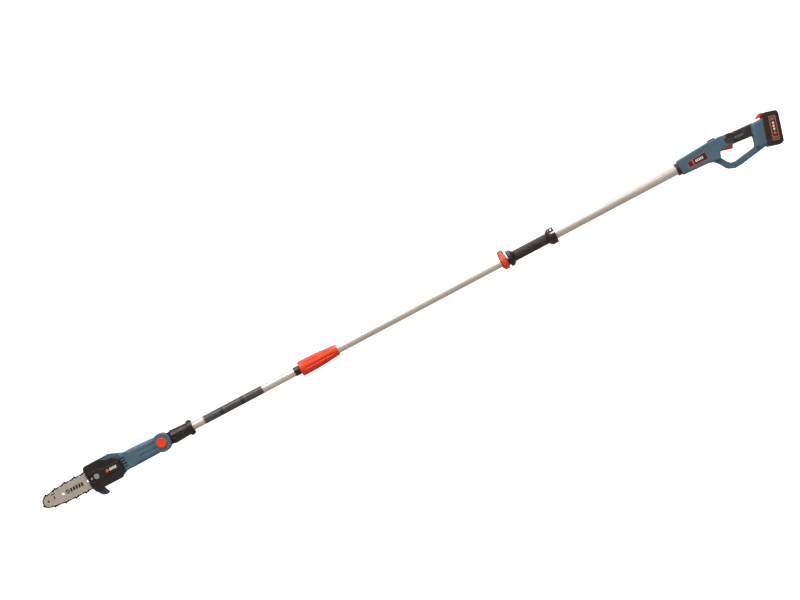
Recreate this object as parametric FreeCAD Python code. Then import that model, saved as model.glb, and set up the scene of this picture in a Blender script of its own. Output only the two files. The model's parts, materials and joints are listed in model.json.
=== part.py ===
import FreeCAD, Part
import math
import os

# Telescoping pole saw: sizes in millimetres.
# Working frame: X runs along the pole (minus = bar tip, plus = battery), Z up, Y across;
# X = 0 and Z = 0 lie on the tilt pivot. Every file is moved at the end so that the
# strap eye of the front grip is the origin.

# ---------------------------------------------------------------- driving dimensions
FIT = 0.05              # running fit, each side
GAP = 0.35              # free clearance between pieces that move past each other
WALL = 2.5              # moulded shell wall

# saw head
BAR_Y = -15.0           # plane of bar and chain
BAR_Z = 2.5             # height of the bar's centre line
BAR_HEIGHT = 54.0
BAR_THICK = 4.2
BAR_NOSE_X = -447.0
BAR_NOSE_R = 17.5
BAR_TAPER_X = -336.0    # where the long taper to the nose starts
NUT_X = -246.0
SPROCKET_X = -187.5
SPROCKET_TEETH = 6
CHAIN_LINKS = 64        # rivets in the loop, always even
CHAIN_LIFT = 2.6        # rivet line above the bar rail
STRAP_THICK = 0.9
STRAP_HALF = 1.9
CUTTER_TOP = 6.4        # top of a cutter above the rivet line
TENSION_TRAVEL = 5.0
COVER_TOP = 51.5
COVER_BOTTOM = -42.0
COVER_FRONT_X = -277.5
COVER_BACK_X = -154.5
COVER_FACE_Y = -33.0
COVER_BACK_Y = -11.0
HOUSING_HALF = 28.0     # half width of the head across Y
NECK_TOP = 32.5
NECK_BOTTOM = -28.5
HUB_R = 32.5
TONGUE_HALF = 11.6
TONGUE_R = 25.5
NECK_HALF = 21.5        # half height of the socket's neck between the cheeks
TILT_MAX = 60           # degrees
BUTTON_R = 17.0
BUTTON_PRESS = 5.0
MOTOR_R = 19.0
MOTOR_X = (-118.0, -58.0)
SHAFT_R = 4.0

# pole
TUBE_R = 14.0
TUBE_WALL = 1.5
REAR_TUBE_R = 16.0
REAR_TUBE_WALL = 1.5
FRONT_TUBE_X = (36.0, 552.0)
COUPLE_X = 556.0        # face where the two halves of the pole meet
NUT_LENGTH = 143.0
COUPLING_NUT_X = 526.0
COUPLING_NUT_R = 26.4
COUPLING_TAIL_R = 18.6
THREAD_R = 16.4
CLAMP_X = 1290.7
CLAMP_WIDTH = 24.0
CLAMP_R = 21.0
TELESCOPE_TRAVEL = 560.0
GRIP_X = (1319.5, 1498.0)
GRIP_R = 18.1
FLANGE_R = 28.2
EYE_X = 1489.5
EYE_Z = 21.8
EYE_R = 3.5

# rear handle; its own station is where the rear tube enters it
HANDLE_X = 1972.0
BODY_HALF = 24.0
HANDGRIP_HALF = 17.0
GUARD_HALF = 11.5
DOCK_HALF = 31.0
PACK_TILT = 16.0        # degrees that the battery's long axis leans back
PACK_LENGTH = 115.0
PACK_THICK = 56.0
PACK_HALF = 37.0
PACK_TRAVEL = 95.0
LEAD_R = 3.0
COIL_R = 8.0

ORIGIN = FreeCAD.Vector(EYE_X, 0, EYE_Z)
X, Y, Z = FreeCAD.Vector(1, 0, 0), FreeCAD.Vector(0, 1, 0), FreeCAD.Vector(0, 0, 1)


# ---------------------------------------------------------------- small helpers
def vec(x, y, z):
    return FreeCAD.Vector(x, y, z)


def rod(r, start, end):
    """Solid cylinder from one point to another."""
    along = end.sub(start)
    return Part.makeCylinder(r, along.Length, start, along)


def pipe(r_out, r_in, start, end):
    return rod(r_out, start, end).cut(rod(r_in, start, end))


def x_rod(r, x0, x1, y=0.0, z=0.0):
    return rod(r, vec(x0, y, z), vec(x1, y, z))


def y_rod(r, x, z, y0, y1):
    return rod(r, vec(x, y0, z), vec(x, y1, z))


def x_pipe(r_out, r_in, x0, x1):
    return pipe(r_out, r_in, vec(x0, 0, 0), vec(x1, 0, 0))


def block(x0, x1, y0, y1, z0, z1):
    return Part.makeBox(x1 - x0, y1 - y0, z1 - z0, vec(x0, y0, z0))


def turned_x(profile):
    """Solid of revolution about X from (x, r) points; the last edge closes it."""
    points = [vec(x, 0, r) for x, r in profile]
    face = Part.Face(Part.makePolygon(points + points[:1]))
    return face.revolve(vec(0, 0, 0), X, 360)


def rounded_wire(corners, y=0.0):
    """Closed wire in the XZ plane from (x, z, radius) corners."""
    edges = []
    stops = []
    count = len(corners)
    for i in range(count):
        before = vec(corners[i - 1][0], y, corners[i - 1][1])
        here = vec(corners[i][0], y, corners[i][1])
        after = vec(corners[(i + 1) % count][0], y, corners[(i + 1) % count][1])
        radius = corners[i][2]
        back = before.sub(here).normalize()
        on = after.sub(here).normalize()
        half = back.getAngle(on) / 2
        if radius == 0:
            stops.append((here, here, here))
            continue
        reach = radius / math.tan(half)
        middle = back.add(on).normalize()
        centre = here.add(middle * (radius / math.sin(half)))
        stops.append((here.add(back * reach), centre.sub(middle * radius), here.add(on * reach)))
    for i in range(count):
        start, mid, end = stops[i]
        if start.distanceToPoint(end) > 1e-6:
            edges.append(Part.Arc(start, mid, end).toShape())
        following = stops[(i + 1) % count][0]
        if end.distanceToPoint(following) > 1e-6:
            edges.append(Part.LineSegment(end, following).toShape())
    return Part.Wire(edges)


def slab(corners, y0, y1):
    """Rounded outline in XZ carried from y0 to y1."""
    return Part.Face(rounded_wire(corners, y0)).extrude(vec(0, y1 - y0, 0))


def rim_edges(shape, y):
    """Edges that lie wholly in the plane at this y."""
    def on_plane(edge):
        return all(abs(v.Y - y) < 1e-4 for v in edge.Vertexes)
    return [e for e in shape.Edges if on_plane(e)]


def rims_within(shape, hole, y):
    """Rim edges at this y that belong to a hole cut by the given tool."""
    room = hole.BoundBox
    room.enlarge(0.01)
    return [e for e in rim_edges(shape, y) if room.isInside(e.BoundBox)]


def soft_slab(corners, y0, y1, round0, round1):
    """Slab whose two rims are rounded over by their own radii."""
    solid = slab(corners, y0, y1)
    if round0:
        solid = solid.makeFillet(round0, rim_edges(solid, y0))
    if round1:
        solid = solid.makeFillet(round1, rim_edges(solid, y1))
    return solid


def fuse_all(shapes):
    whole = shapes[0]
    if len(shapes) > 1:
        whole = shapes[0].multiFuse(shapes[1:])
    return whole.removeSplitter()


def cut_all(shape, tools):
    return shape.cut(Part.Compound(tools)) if tools else shape


def group(shapes):
    return Part.Compound(shapes)


def turn(shape, centre, axis, degrees):
    copy = shape.copy()
    copy.rotate(centre, axis, degrees)
    return copy


def hex_prism(across, start, end):
    """Hexagonal bar across flats, from one point to another along Y."""
    r = across / math.sqrt(3)
    points = []
    for i in range(6):
        a = math.radians(60 * i)
        points.append(vec(start.x + r * math.cos(a), start.y, start.z + r * math.sin(a)))
    return Part.Face(Part.makePolygon(points + points[:1])).extrude(end.sub(start))


def spring(r_mean, wire_r, start, end, turns):
    """Compression spring drawn as level turns of round wire joined by one straight wire."""
    along = end.sub(start)
    step = along * (1.0 / (turns - 1))
    rings = [Part.makeTorus(r_mean, wire_r, start.add(step * i), along) for i in range(turns)]
    side = X * r_mean if abs(along.x) < abs(along.z) + abs(along.y) else Z * r_mean
    return fuse_all(rings + [rod(wire_r * 0.9, start.add(side), end.add(side))])


def screw(x, z, y0, y1, head_r=3.4, shank_r=1.6):
    """Cross-slotted pan screw that enters along +Y: head at y0, point at y1."""
    head = y_rod(head_r, x, z, y0, y0 + 2.4)
    head = head.makeFillet(0.8, rim_edges(head, y0))
    slots = [block(x - 2, x + 2, y0 - 1, y0 + 1.3, z - 0.45, z + 0.45),
             block(x - 0.45, x + 0.45, y0 - 1, y0 + 1.3, z - 2, z + 2)]
    return fuse_all([cut_all(head, slots), y_rod(shank_r, x, z, y0 + 2.4, y1)])


parts = {}


# ---------------------------------------------------------------- bar and chain
HALF_BAR = BAR_HEIGHT / 2
NOSE_X = BAR_NOSE_X + BAR_NOSE_R
TAIL_X = SPROCKET_X - 38.0          # where the chain leaves the bar
TAPER = BAR_TAPER_X - NOSE_X
TAPER_R = (TAPER ** 2 + HALF_BAR ** 2 - BAR_NOSE_R ** 2) / (2 * (HALF_BAR - BAR_NOSE_R))
CHAIN_PITCH = 9.51
SPROCKET_R = CHAIN_PITCH * SPROCKET_TEETH / math.pi
FACE_FRONT = BAR_Y - BAR_THICK / 2
FACE_BACK = BAR_Y + BAR_THICK / 2


def bar_side(sign, lift, y):
    """One long side of the bar outline: tail to taper, then the long arc to the nose."""
    height = HALF_BAR + lift
    radius = TAPER_R + lift
    centre = vec(BAR_TAPER_X, y, BAR_Z - sign * (TAPER_R - HALF_BAR))
    reach = vec(NOSE_X, y, BAR_Z).sub(centre).normalize()
    level = vec(0, 0, sign)
    between = level.add(reach).normalize()
    tail = vec(TAIL_X, y, BAR_Z + sign * height)
    start = centre.add(level * radius)
    end = centre.add(reach * radius)
    run = Part.LineSegment(tail, start).toShape()
    arc = Part.Arc(start, centre.add(between * radius), end).toShape()
    return tail, end, [run, arc]


def bar_face(lift, y):
    tail_up, nose_up, upper = bar_side(1, lift, y)
    tail_low, nose_low, lower = bar_side(-1, lift, y)
    tip = vec(NOSE_X - BAR_NOSE_R - lift, y, BAR_Z)
    nose = Part.Arc(nose_up, tip, nose_low).toShape()
    back_up = vec(TAIL_X + 12, y, BAR_Z + 9)
    back_low = vec(TAIL_X + 12, y, BAR_Z - 9)
    tail = Part.makePolygon([tail_up, back_up, back_low, tail_low]).Edges
    return Part.Face(Part.Wire(Part.__sortEdges__(upper + [nose] + lower + tail)))


def chain_path():
    """Closed line of the chain's rivets, starting at the back of the drive sprocket."""
    tail_up, nose_up, upper = bar_side(1, CHAIN_LIFT, BAR_Y)
    tail_low, nose_low, lower = bar_side(-1, CHAIN_LIFT, BAR_Y)
    hub = vec(SPROCKET_X, BAR_Y, BAR_Z)
    tip = vec(NOSE_X - BAR_NOSE_R - CHAIN_LIFT, BAR_Y, BAR_Z)
    run = hub.x - tail_up.x
    rise = tail_up.z - hub.z
    lean = math.asin(SPROCKET_R / math.hypot(run, rise)) - math.atan2(rise, run)
    touch = vec(hub.x - SPROCKET_R * math.sin(lean), BAR_Y, 0)
    lift = SPROCKET_R * math.cos(lean)
    on_up = vec(touch.x, BAR_Y, hub.z + lift)
    on_low = vec(touch.x, BAR_Y, hub.z - lift)
    back = vec(hub.x + SPROCKET_R, BAR_Y, hub.z)
    half = math.sqrt(0.5)
    above = vec(hub.x + SPROCKET_R * half, BAR_Y, hub.z + SPROCKET_R * half)
    below = vec(hub.x + SPROCKET_R * half, BAR_Y, hub.z - SPROCKET_R * half)
    edges = [Part.Arc(back, above, on_up).toShape(), Part.LineSegment(on_up, tail_up).toShape()]
    edges += upper + [Part.Arc(nose_up, tip, nose_low).toShape()] + lower[::-1]
    edges += [Part.LineSegment(tail_low, on_low).toShape(), Part.Arc(on_low, below, back).toShape()]
    return Part.Wire(edges)


def rivet_points():
    """Rivet centres, set half a pitch either side of the loop's start."""
    fine = chain_path().discretize(Number=2 * CHAIN_LINKS + 1)
    return fine[1::2]


def plate_between(a, b, y0, y1, half, bump=()):
    """Flat link plate around two rivets; bump lists (share along, height) above the line."""
    along = b.sub(a)
    length = along.Length
    centre = vec(0, 0, 0)
    outline = [(-half, -half), (length + half, -half), (length + half, half)]
    outline += [(share * length, height) for share, height in bump[::-1]]
    outline += [(-half, half)]
    corners = [(x, z, 0.9) for x, z in outline]
    solid = slab(corners, y0, y1)
    for x in (0, length):
        solid = solid.cut(y_rod(0.8, x, 0, y0 - 1, y1 + 1))
    angle = math.degrees(math.atan2(-along.z, along.x))
    solid.rotate(centre, Y, angle)
    solid.translate(vec(a.x, 0, a.z))
    return solid


def build_chain():
    rivets = rivet_points()
    drive, straps, cutters, pins = [], [], [], []
    core = 0.65
    near = (BAR_Y - core - STRAP_THICK - 0.05, BAR_Y - core - 0.05)
    far = (BAR_Y + core + 0.05, BAR_Y + core + STRAP_THICK + 0.05)
    for i in range(CHAIN_LINKS):
        a, b = rivets[i], rivets[(i + 1) % CHAIN_LINKS]
        pins.append(y_rod(0.75, a.x, a.z, near[0] - 0.3, far[1] + 0.3))
        if i % 2:
            drive.append(drive_link(b, a, core))
            continue
        cutting = i % 4 == 0
        side = near if i % 8 == 0 else far
        for place in (near, far):
            if cutting and place is side:
                cutters.append(cutter_link(b, a, place))
            else:
                straps.append(plate_between(b, a, place[0], place[1], STRAP_HALF))
    parts["saw_chain"] = group(drive + straps + cutters + pins)


def drive_link(a, b, core):
    """Middle link whose tang reaches down into the bar's groove."""
    along = b.sub(a)
    length = along.Length
    outline = [(-2.1, -1.6), (length / 2 - 2.4, -6.6), (length / 2 + 2.4, -6.6)]
    outline += [(length + 2.1, -1.6), (length + 2.1, 2.1), (-2.1, 2.1)]
    solid = slab([(x, z, 0.7) for x, z in outline], BAR_Y - core, BAR_Y + core)
    for x in (0, length):
        solid = solid.cut(y_rod(0.8, x, 0, BAR_Y - 2, BAR_Y + 2))
    solid.rotate(vec(0, 0, 0), Y, math.degrees(math.atan2(-along.z, along.x)))
    solid.translate(vec(a.x, 0, a.z))
    return solid


def cutter_link(a, b, place):
    """Cutter: depth gauge in front, then the tooth with its folded-over top plate."""
    length = a.distanceToPoint(b)
    tall = CUTTER_TOP
    bump = ((-0.12, tall - 1.2), (0.12, tall - 1.2), (0.26, 3.0), (0.44, 3.2),
            (0.60, tall), (1.20, tall - 0.9))
    side = plate_between(a, b, place[0], place[1], STRAP_HALF, bump)
    inward = 1 if place[0] < BAR_Y else -1
    y0, y1 = (place[0], place[1] + 2.2) if inward > 0 else (place[0] - 2.2, place[1])
    top = slab([(0.62 * length, tall - 0.9, 0), (0.62 * length, tall, 0),
                (1.18 * length, tall - 0.9, 0), (1.18 * length, tall - 1.7, 0)], y0, y1)
    along = b.sub(a)
    top.rotate(vec(0, 0, 0), Y, math.degrees(math.atan2(-along.z, along.x)))
    top.translate(vec(a.x, 0, a.z))
    return fuse_all([side, top])


STUD_R = 4.0
BAR_HOLE_X = -374.0
PIN_X, PIN_Z, PIN_R = -238.0, 15.0, 2.4


def build_bar():
    plate = bar_face(0, FACE_FRONT).extrude(vec(0, BAR_THICK, 0))
    groove = bar_face(1, BAR_Y - 0.8).extrude(vec(0, 1.6, 0))
    core = bar_face(-5.2, BAR_Y - 2).extrude(vec(0, 4, 0))
    pocket = y_rod(13.2, NOSE_X, BAR_Z, BAR_Y - 0.8, BAR_Y + 0.8)
    slot_half = STUD_R + 0.2
    slot = [(-284.0, BAR_Z + slot_half, 4), (TAIL_X - 2, BAR_Z + slot_half, 4),
            (TAIL_X - 2, BAR_Z - slot_half, 4), (-284.0, BAR_Z - slot_half, 4)]
    cuts = [groove.cut(core), pocket, slab(slot, FACE_FRONT - 1, FACE_BACK + 1)]
    for x, z, r in ((BAR_HOLE_X, BAR_Z, 4.0), (PIN_X, BAR_Z + PIN_Z, PIN_R + FIT),
                    (PIN_X, BAR_Z - PIN_Z, PIN_R + FIT), (NOSE_X, BAR_Z, 3.0)):
        cuts.append(y_rod(r, x, z, FACE_FRONT - 1, FACE_BACK + 1))
    rivet = y_rod(3.0 - FIT, NOSE_X, BAR_Z, FACE_FRONT - 0.2, FACE_BACK + 0.2)
    parts["guide_bar"] = group([cut_all(plate, cuts), rivet])
    star = y_rod(12.0, NOSE_X, BAR_Z, BAR_Y - 0.6, BAR_Y + 0.6)
    gullets = []
    for i in range(9):
        a = 2 * math.pi * i / 9
        gullets.append(y_rod(2.6, NOSE_X + 12.4 * math.cos(a), BAR_Z + 12.4 * math.sin(a),
                             BAR_Y - 1, BAR_Y + 1))
    bore = y_rod(3.0 + FIT, NOSE_X, BAR_Z, BAR_Y - 1, BAR_Y + 1)
    parts["nose_sprocket"] = cut_all(star, gullets + [bore])


# ---------------------------------------------------------------- sprocket cover
COVER_WALL = 2.6
BAND_RISE = 2.6
POCKET_Y = -24.5
SEAT_R = 12.5                       # pad that presses on the bar under the nut
SCREW_X = -264.0


def cover_corners():
    return [(COVER_FRONT_X, COVER_TOP, 12), (-212, COVER_TOP, 14), (-190, 38.5, 14),
            (-168, 37, 10), (COVER_BACK_X, 20, 8), (COVER_BACK_X, -27, 4),
            (-169, COVER_BOTTOM, 3), (-241, COVER_BOTTOM, 3), (-244, -49, 2),
            (-262, -49, 3), (-270, -44, 4), (COVER_FRONT_X, -27, 5)]


def build_cover():
    shell = soft_slab(cover_corners(), COVER_FACE_Y, COVER_BACK_Y, 3.5, 0)
    inner = Part.Face(rounded_wire(cover_corners(), COVER_FACE_Y + COVER_WALL))
    inner = inner.makeOffset2D(-COVER_WALL).extrude(vec(0, 40, 0))
    keep_hook = block(-290, -225, -60, 10, -60, COVER_BOTTOM + COVER_WALL)
    mouth = block(COVER_FRONT_X - 10, COVER_FRONT_X + 10, FACE_FRONT - 5, 10,
                  BAR_Z - HALF_BAR - 9.5, BAR_Z + HALF_BAR + 9.5)
    shell = shell.cut(inner.cut(keep_hook)).cut(mouth)
    band = [(-274, 23.5, 9), (-229, 23.5, 6), (-223, 17, 4), (-161, 17, 6), (-161, -10, 6),
            (-223, -10, 4), (-229, -18.5, 6), (-274, -18.5, 9)]
    raised = soft_slab(band, COVER_FACE_Y - BAND_RISE, COVER_FACE_Y + 1, 1.4, 0)
    ridge = [(-228, -24.5, 1.2), (-161, -24.5, 1.2), (-161, -28, 1.2), (-228, -28, 1.2)]
    rib = slab(ridge, COVER_FACE_Y - 1.2, COVER_FACE_Y + 1)
    seat = y_rod(SEAT_R, NUT_X, BAR_Z, COVER_FACE_Y, FACE_FRONT - GAP)
    shell = fuse_all([shell, raised, rib, seat])
    pocket = [(-273, 15.5, 7), (-232.5, 15.5, 11), (-232.5, -10.5, 11), (-273, -10.5, 7)]
    cuts = [slab(pocket, COVER_FACE_Y - 10, POCKET_Y),
            y_rod(STUD_R + 0.3, NUT_X, BAR_Z, -60, 0),
            y_rod(4.0 + FIT, SCREW_X, BAR_Z, -60, FACE_FRONT - 2),
            slab(badge_corners(), COVER_FACE_Y - 10, COVER_FACE_Y - BAND_RISE + 0.8)]
    floor = slab([(-276, 18, 7), (-230, 18, 11), (-230, -13, 11), (-276, -13, 7)],
                 POCKET_Y - 12, POCKET_Y + 2.2).common(
        slab(cover_corners(), COVER_FACE_Y, COVER_BACK_Y))
    parts["sprocket_cover"] = cut_all(fuse_all([shell, floor]), cuts)


def badge_corners():
    return [(-214, 12, 2.5), (-168, 12, 2.5), (-168, -5, 2.5), (-214, -5, 2.5)]


def build_cover_fasteners():
    face = POCKET_Y
    flange = y_rod(9.5, NUT_X, BAR_Z, face - 1.8, face)
    hexagon = hex_prism(13.0, vec(NUT_X, face - 8.5, BAR_Z), vec(NUT_X, face - 1.8, BAR_Z))
    bore = y_rod(STUD_R + FIT, NUT_X, BAR_Z, face - 20, face + 5)
    parts["bar_nut"] = fuse_all([flange, hexagon]).cut(bore)
    stud = y_rod(STUD_R, NUT_X, BAR_Z, face - 7.5, 6.0)
    collar = y_rod(7.5, NUT_X, BAR_Z, HEAD_WALL_Y + WALL + 0.1, HEAD_WALL_Y + WALL + 3)
    parts["bar_stud"] = fuse_all([stud, collar])
    head = y_rod(4.0, SCREW_X, BAR_Z, face - 5.5, FACE_FRONT - 2.6)
    slot = block(SCREW_X - 5, SCREW_X + 5, face - 8, face - 4, BAR_Z - 0.6, BAR_Z + 0.6)
    parts["tension_screw"] = head.cut(slot)
    bar_stop = FACE_FRONT - GAP
    low = BAR_Z + SEAT_R + GAP + 0.2
    slider = slab([(-257, low + 5.4, 1.5), (-233, low + 5.4, 1.5), (-233, low, 1.5),
                   (-257, low, 1.5)], POCKET_Y + 2.2 + GAP, bar_stop)
    pin = y_rod(PIN_R, PIN_X, BAR_Z + PIN_Z, bar_stop - 0.5, FACE_BACK)
    parts["tension_pin"] = fuse_all([slider, pin])


# ---------------------------------------------------------------- saw head housing
HEAD_WALL_Y = -10.2                 # outer face of the wall behind the bar
GEAR_R = 32.0
GEAR_Y = 8.2
PINION_R = 7.4
OIL_X, OIL_Z, OIL_CAP_R = -243.5, 26.0, 7.0


def head_outer():
    neck = [(-170, 30, 6), (-139, NECK_TOP, 60), (-100, NECK_TOP + 0.8, 200),
            (-20, 29, 6), (-20, -27.5, 6), (-100, NECK_BOTTOM, 200), (-170, NECK_BOTTOM, 6)]
    barrel = soft_slab(neck, -HOUSING_HALF, HOUSING_HALF, 11, 11)
    wide = block(-132, 0, -40, 40, -70, 70)
    gearbox = [(-268, 46, 12), (-246, 52, 20), (-181, 52, 22), (-128, 30, 40),
               (-112, 26, 8), (-112, -24, 8), (-150, NECK_BOTTOM, 30), (-172, -40.5, 12),
               (-258, -40.5, 12), (-268, -20, 10)]
    box = soft_slab(gearbox, HEAD_WALL_Y, HOUSING_HALF, 0, 11)
    shoulder = soft_slab([(-150.5, 36, 8), (-112, 31, 6), (-112, -28, 6), (-150.5, -28, 8)],
                         -HOUSING_HALF, 0, 6, 0)
    hub = y_rod(HUB_R, 0, 0, -30, 30)
    hub = hub.makeFillet(4, rim_edges(hub, -30) + rim_edges(hub, 30))
    hook = [(-276, -27, 5), (-270.5, -44.5, 12), (-259.5, -61.5, 14), (-246, -68, 10),
            (-234, -66.5, 3), (-233, -60.5, 4), (-239, -49, 12), (-243, -36, 4)]
    claw = soft_slab(hook, HEAD_WALL_Y, 5.0, 2, 2)
    return fuse_all([barrel.common(wide), box, shoulder, hub, claw])


def head_hollow():
    """Everything that is open inside the two shells."""
    motor_room = x_rod(MOTOR_R + 3.0, -128, -42)
    gear_room = [(-262, 41, 8), (-244, 47, 14), (-184, 47, 16), (-150, 32, 10), (-128, 22, 6),
                 (-128, -22, 6), (-150, -25, 8), (-174, -36, 8), (-255, -36, 8), (-262, -18, 8)]
    box = slab(gear_room, HEAD_WALL_Y + WALL, HOUSING_HALF - WALL)
    return [motor_room, box, lead_window()]


def hub_opening():
    """Gap between the cheeks, the button's bore and the index teeth."""
    gap = TONGUE_HALF + GAP
    room = y_rod(TONGUE_R + 0.8, 0, 0, -gap, gap)
    mouth = block(0, HUB_R + 5, -gap, gap, -HUB_R - 2, HUB_R + 2)
    swing = block(0, HUB_R + 25, -gap, gap, -NECK_HALF - 0.8, NECK_HALF + 0.8)
    bore = y_rod(BUTTON_R + 0.3, 0, 0, -40, -16.0)
    teeth = index_shape(0.25, -16.5, -gap + 0.5)
    bolt = y_rod(4.0 + FIT, 0, 0, 0, 40)
    recess = y_rod(8.6, 0, 0, 26.5, 40)
    sweep = []
    for angle in range(0, TILT_MAX + 1, 10):
        sweep.append(turn(block(-46, 0, 1.5, 9.5, -12, -2), vec(0, 0, 0), Y, angle))
        sweep.append(turn(swing, vec(0, 0, 0), Y, angle))
    return [room, mouth, bore, teeth, bolt, recess] + sweep


def index_shape(clear, y0, y1):
    """Toothed disc of the tilt lock, grown by a clearance."""
    disc = y_rod(13.6 + clear, 0, 0, y0, y1)
    lobes = []
    for i in range(12):
        a = 2 * math.pi * i / 12
        lobes.append(y_rod(2.2 + clear, 13.4 * math.cos(a), 13.4 * math.sin(a), y0, y1))
    return fuse_all([disc] + lobes)


def lead_window():
    """Way through the right shell's bulkhead for the motor lead."""
    return block(-44, -20, 1.5, 9.5, -12, -2)


def vent_cuts():
    """Cooling slots behind the cover and the two long grooves towards the hub."""
    cuts = []
    for z in (17.0, 7.0, -3.0, -13.0):
        slot = [(-149.5, z + 2.4, 2.2), (-134, z + 2.4, 2.2), (-134, z - 2.4, 2.2),
                (-149.5, z - 2.4, 2.2)]
        cuts.append(slab(slot, -40, -14))
        cuts.append(slab([(x - 2, zz, r) for x, zz, r in slot], 14, 40))
    for z in (13.1, -3.7):
        groove = [(-84, z + 1.7, 1.5), (-20, z + 1.7, 1.5), (-20, z - 1.7, 1.5), (-84, z - 1.7, 1.5)]
        cuts.append(slab(groove, -40, -HOUSING_HALF + 1.7))
        notch = [(-87, z + 3.4, 2.5), (-72, z + 3.0, 1.5), (-72, z - 3.0, 1.5), (-87, z - 3.4, 2.5)]
        cuts.append(slab(notch, -40, -HOUSING_HALF + 2.2))
    return cuts


HEAD_SCREWS = ((-140, 24), (-140, -19), (-62, 23.5), (-62, -22), (-215, 44), (-222, -33))
SHELL_POSTS = ((-62, 23.5), (-62, -22))


def build_head_shells():
    body = cut_all(head_outer(), head_hollow() + hub_opening() + vent_cuts())
    shaft_hole = y_rod(12.0 + FIT, SPROCKET_X, BAR_Z, HEAD_WALL_Y - 5, HEAD_WALL_Y + WALL + 1)
    stud_hole = y_rod(STUD_R + FIT, NUT_X, BAR_Z, HEAD_WALL_Y - 5, HEAD_WALL_Y + WALL + 1)
    left_half = block(-330, 60, -60, 0, -90, 90)
    right_half = block(-330, 60, 0, 60, -90, 90)
    left = body.common(left_half).cut(shaft_hole).cut(stud_hole)
    right = body.common(right_half)
    posts, holes = [], []
    for x, z in HEAD_SCREWS:
        if (x, z) not in SHELL_POSTS:
            posts.append(y_rod(4.2, x, z, 0, HOUSING_HALF - 2))
        holes.append(y_rod(3.7, x, z, 22.5, 60))
        holes.append(y_rod(1.8, x, z, -8, 40))
    filler = y_rod(OIL_CAP_R + FIT, OIL_X, OIL_Z, 20, 40)
    right = fuse_all([right] + posts).cut(filler)
    parts["head_shell_left"] = left.cut(group(holes))
    parts["head_shell_right"] = right.cut(group(holes)).cut(lead_window())
    screws = [turn(screw(x, z, -20.0, -0.5), vec(x, 0, z), Z, 180) for x, z in HEAD_SCREWS]
    for s in screws:
        s.translate(vec(0, 5.0, 0))
    parts["head_screws"] = group(screws)


# ---------------------------------------------------------------- drive train in the head
def build_drive():
    shaft = y_rod(SHAFT_R, SPROCKET_X, BAR_Z, -23.0, 24.5)
    root = y_rod(10.5, SPROCKET_X, BAR_Z, BAR_Y - 2.0, BAR_Y + 2.0)
    teeth = []
    for i in range(SPROCKET_TEETH):
        tooth = block(0, 14.4, BAR_Y - 2.0, BAR_Y + 2.0, -2.3, 2.3)
        tooth.translate(vec(SPROCKET_X, 0, BAR_Z))
        angle = 360 / SPROCKET_TEETH * (i + 0.5)
        teeth.append(turn(tooth, vec(SPROCKET_X, 0, BAR_Z), Y, angle))
    wheel = fuse_all([root] + teeth)
    hub = y_rod(7.0, SPROCKET_X, BAR_Z, BAR_Y - 3.5, BAR_Y + 3.0)
    bore = y_rod(SHAFT_R, SPROCKET_X, BAR_Z, -30, 0)
    parts["drive_sprocket"] = fuse_all([wheel, hub]).cut(bore)
    clip = y_rod(6.5, SPROCKET_X, BAR_Z, -20.5, -19.5).cut(
        y_rod(SHAFT_R, SPROCKET_X, BAR_Z, -22, -18))
    mouth = block(SPROCKET_X, SPROCKET_X + 8, -21, -19, BAR_Z - 2.4, BAR_Z + 2.4)
    parts["sprocket_shaft"] = group([shaft, clip.cut(mouth)])
    bearings = []
    for y0, y1 in ((HEAD_WALL_Y, HEAD_WALL_Y + 7.0), (18.0, 24.0)):
        outer = pipe(12.0, 9.0, vec(SPROCKET_X, y0, BAR_Z), vec(SPROCKET_X, y1, BAR_Z))
        inner = pipe(7.0, SHAFT_R, vec(SPROCKET_X, y0, BAR_Z), vec(SPROCKET_X, y1, BAR_Z))
        balls = []
        for i in range(7):
            a = 2 * math.pi * i / 7
            x, z = SPROCKET_X + 8 * math.cos(a), BAR_Z + 8 * math.sin(a)
            balls.append(Part.makeSphere(1.0, vec(x, (y0 + y1) / 2, z)))
        bearings += [outer, inner] + balls
    parts["shaft_bearings"] = group(bearings)


def cone_y(x, z, y0, r0, y1, r1):
    return Part.makeCone(r0, r1, y1 - y0, vec(x, y0, z), Y)


def build_bevel_pair():
    """Crown gear on the sprocket shaft and the pinion of the motor that turns it."""
    gear = cone_y(SPROCKET_X, BAR_Z, GEAR_Y, GEAR_R - 5, GEAR_Y + 4, GEAR_R)
    hub = y_rod(10.0, SPROCKET_X, BAR_Z, GEAR_Y + 1, 17.6)
    gear = fuse_all([gear, hub])
    cuts = []
    for i in range(30):
        gap = y_rod(1.2, SPROCKET_X + GEAR_R, BAR_Z, GEAR_Y - 1, GEAR_Y + 6)
        cuts.append(turn(gap, vec(SPROCKET_X, 0, BAR_Z), Y, 12 * i))
    cuts.append(y_rod(SHAFT_R, SPROCKET_X, BAR_Z, 0, 30))
    parts["bevel_gear"] = cut_all(gear, cuts)
    x0 = SPROCKET_X + GEAR_R - 8
    body = Part.makeCone(PINION_R - 1.2, PINION_R, 8, vec(x0, 0, BAR_Z), X)
    nicks = []
    for i in range(9):
        a = 2 * math.pi * i / 9
        y, z = PINION_R * math.cos(a), BAR_Z + PINION_R * math.sin(a)
        nicks.append(x_rod(1.1, x0 - 1, x0 + 12, y, z))
    return cut_all(body, nicks + [x_rod(2.5, x0 - 1, x0 + 12, 0, BAR_Z)])


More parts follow.
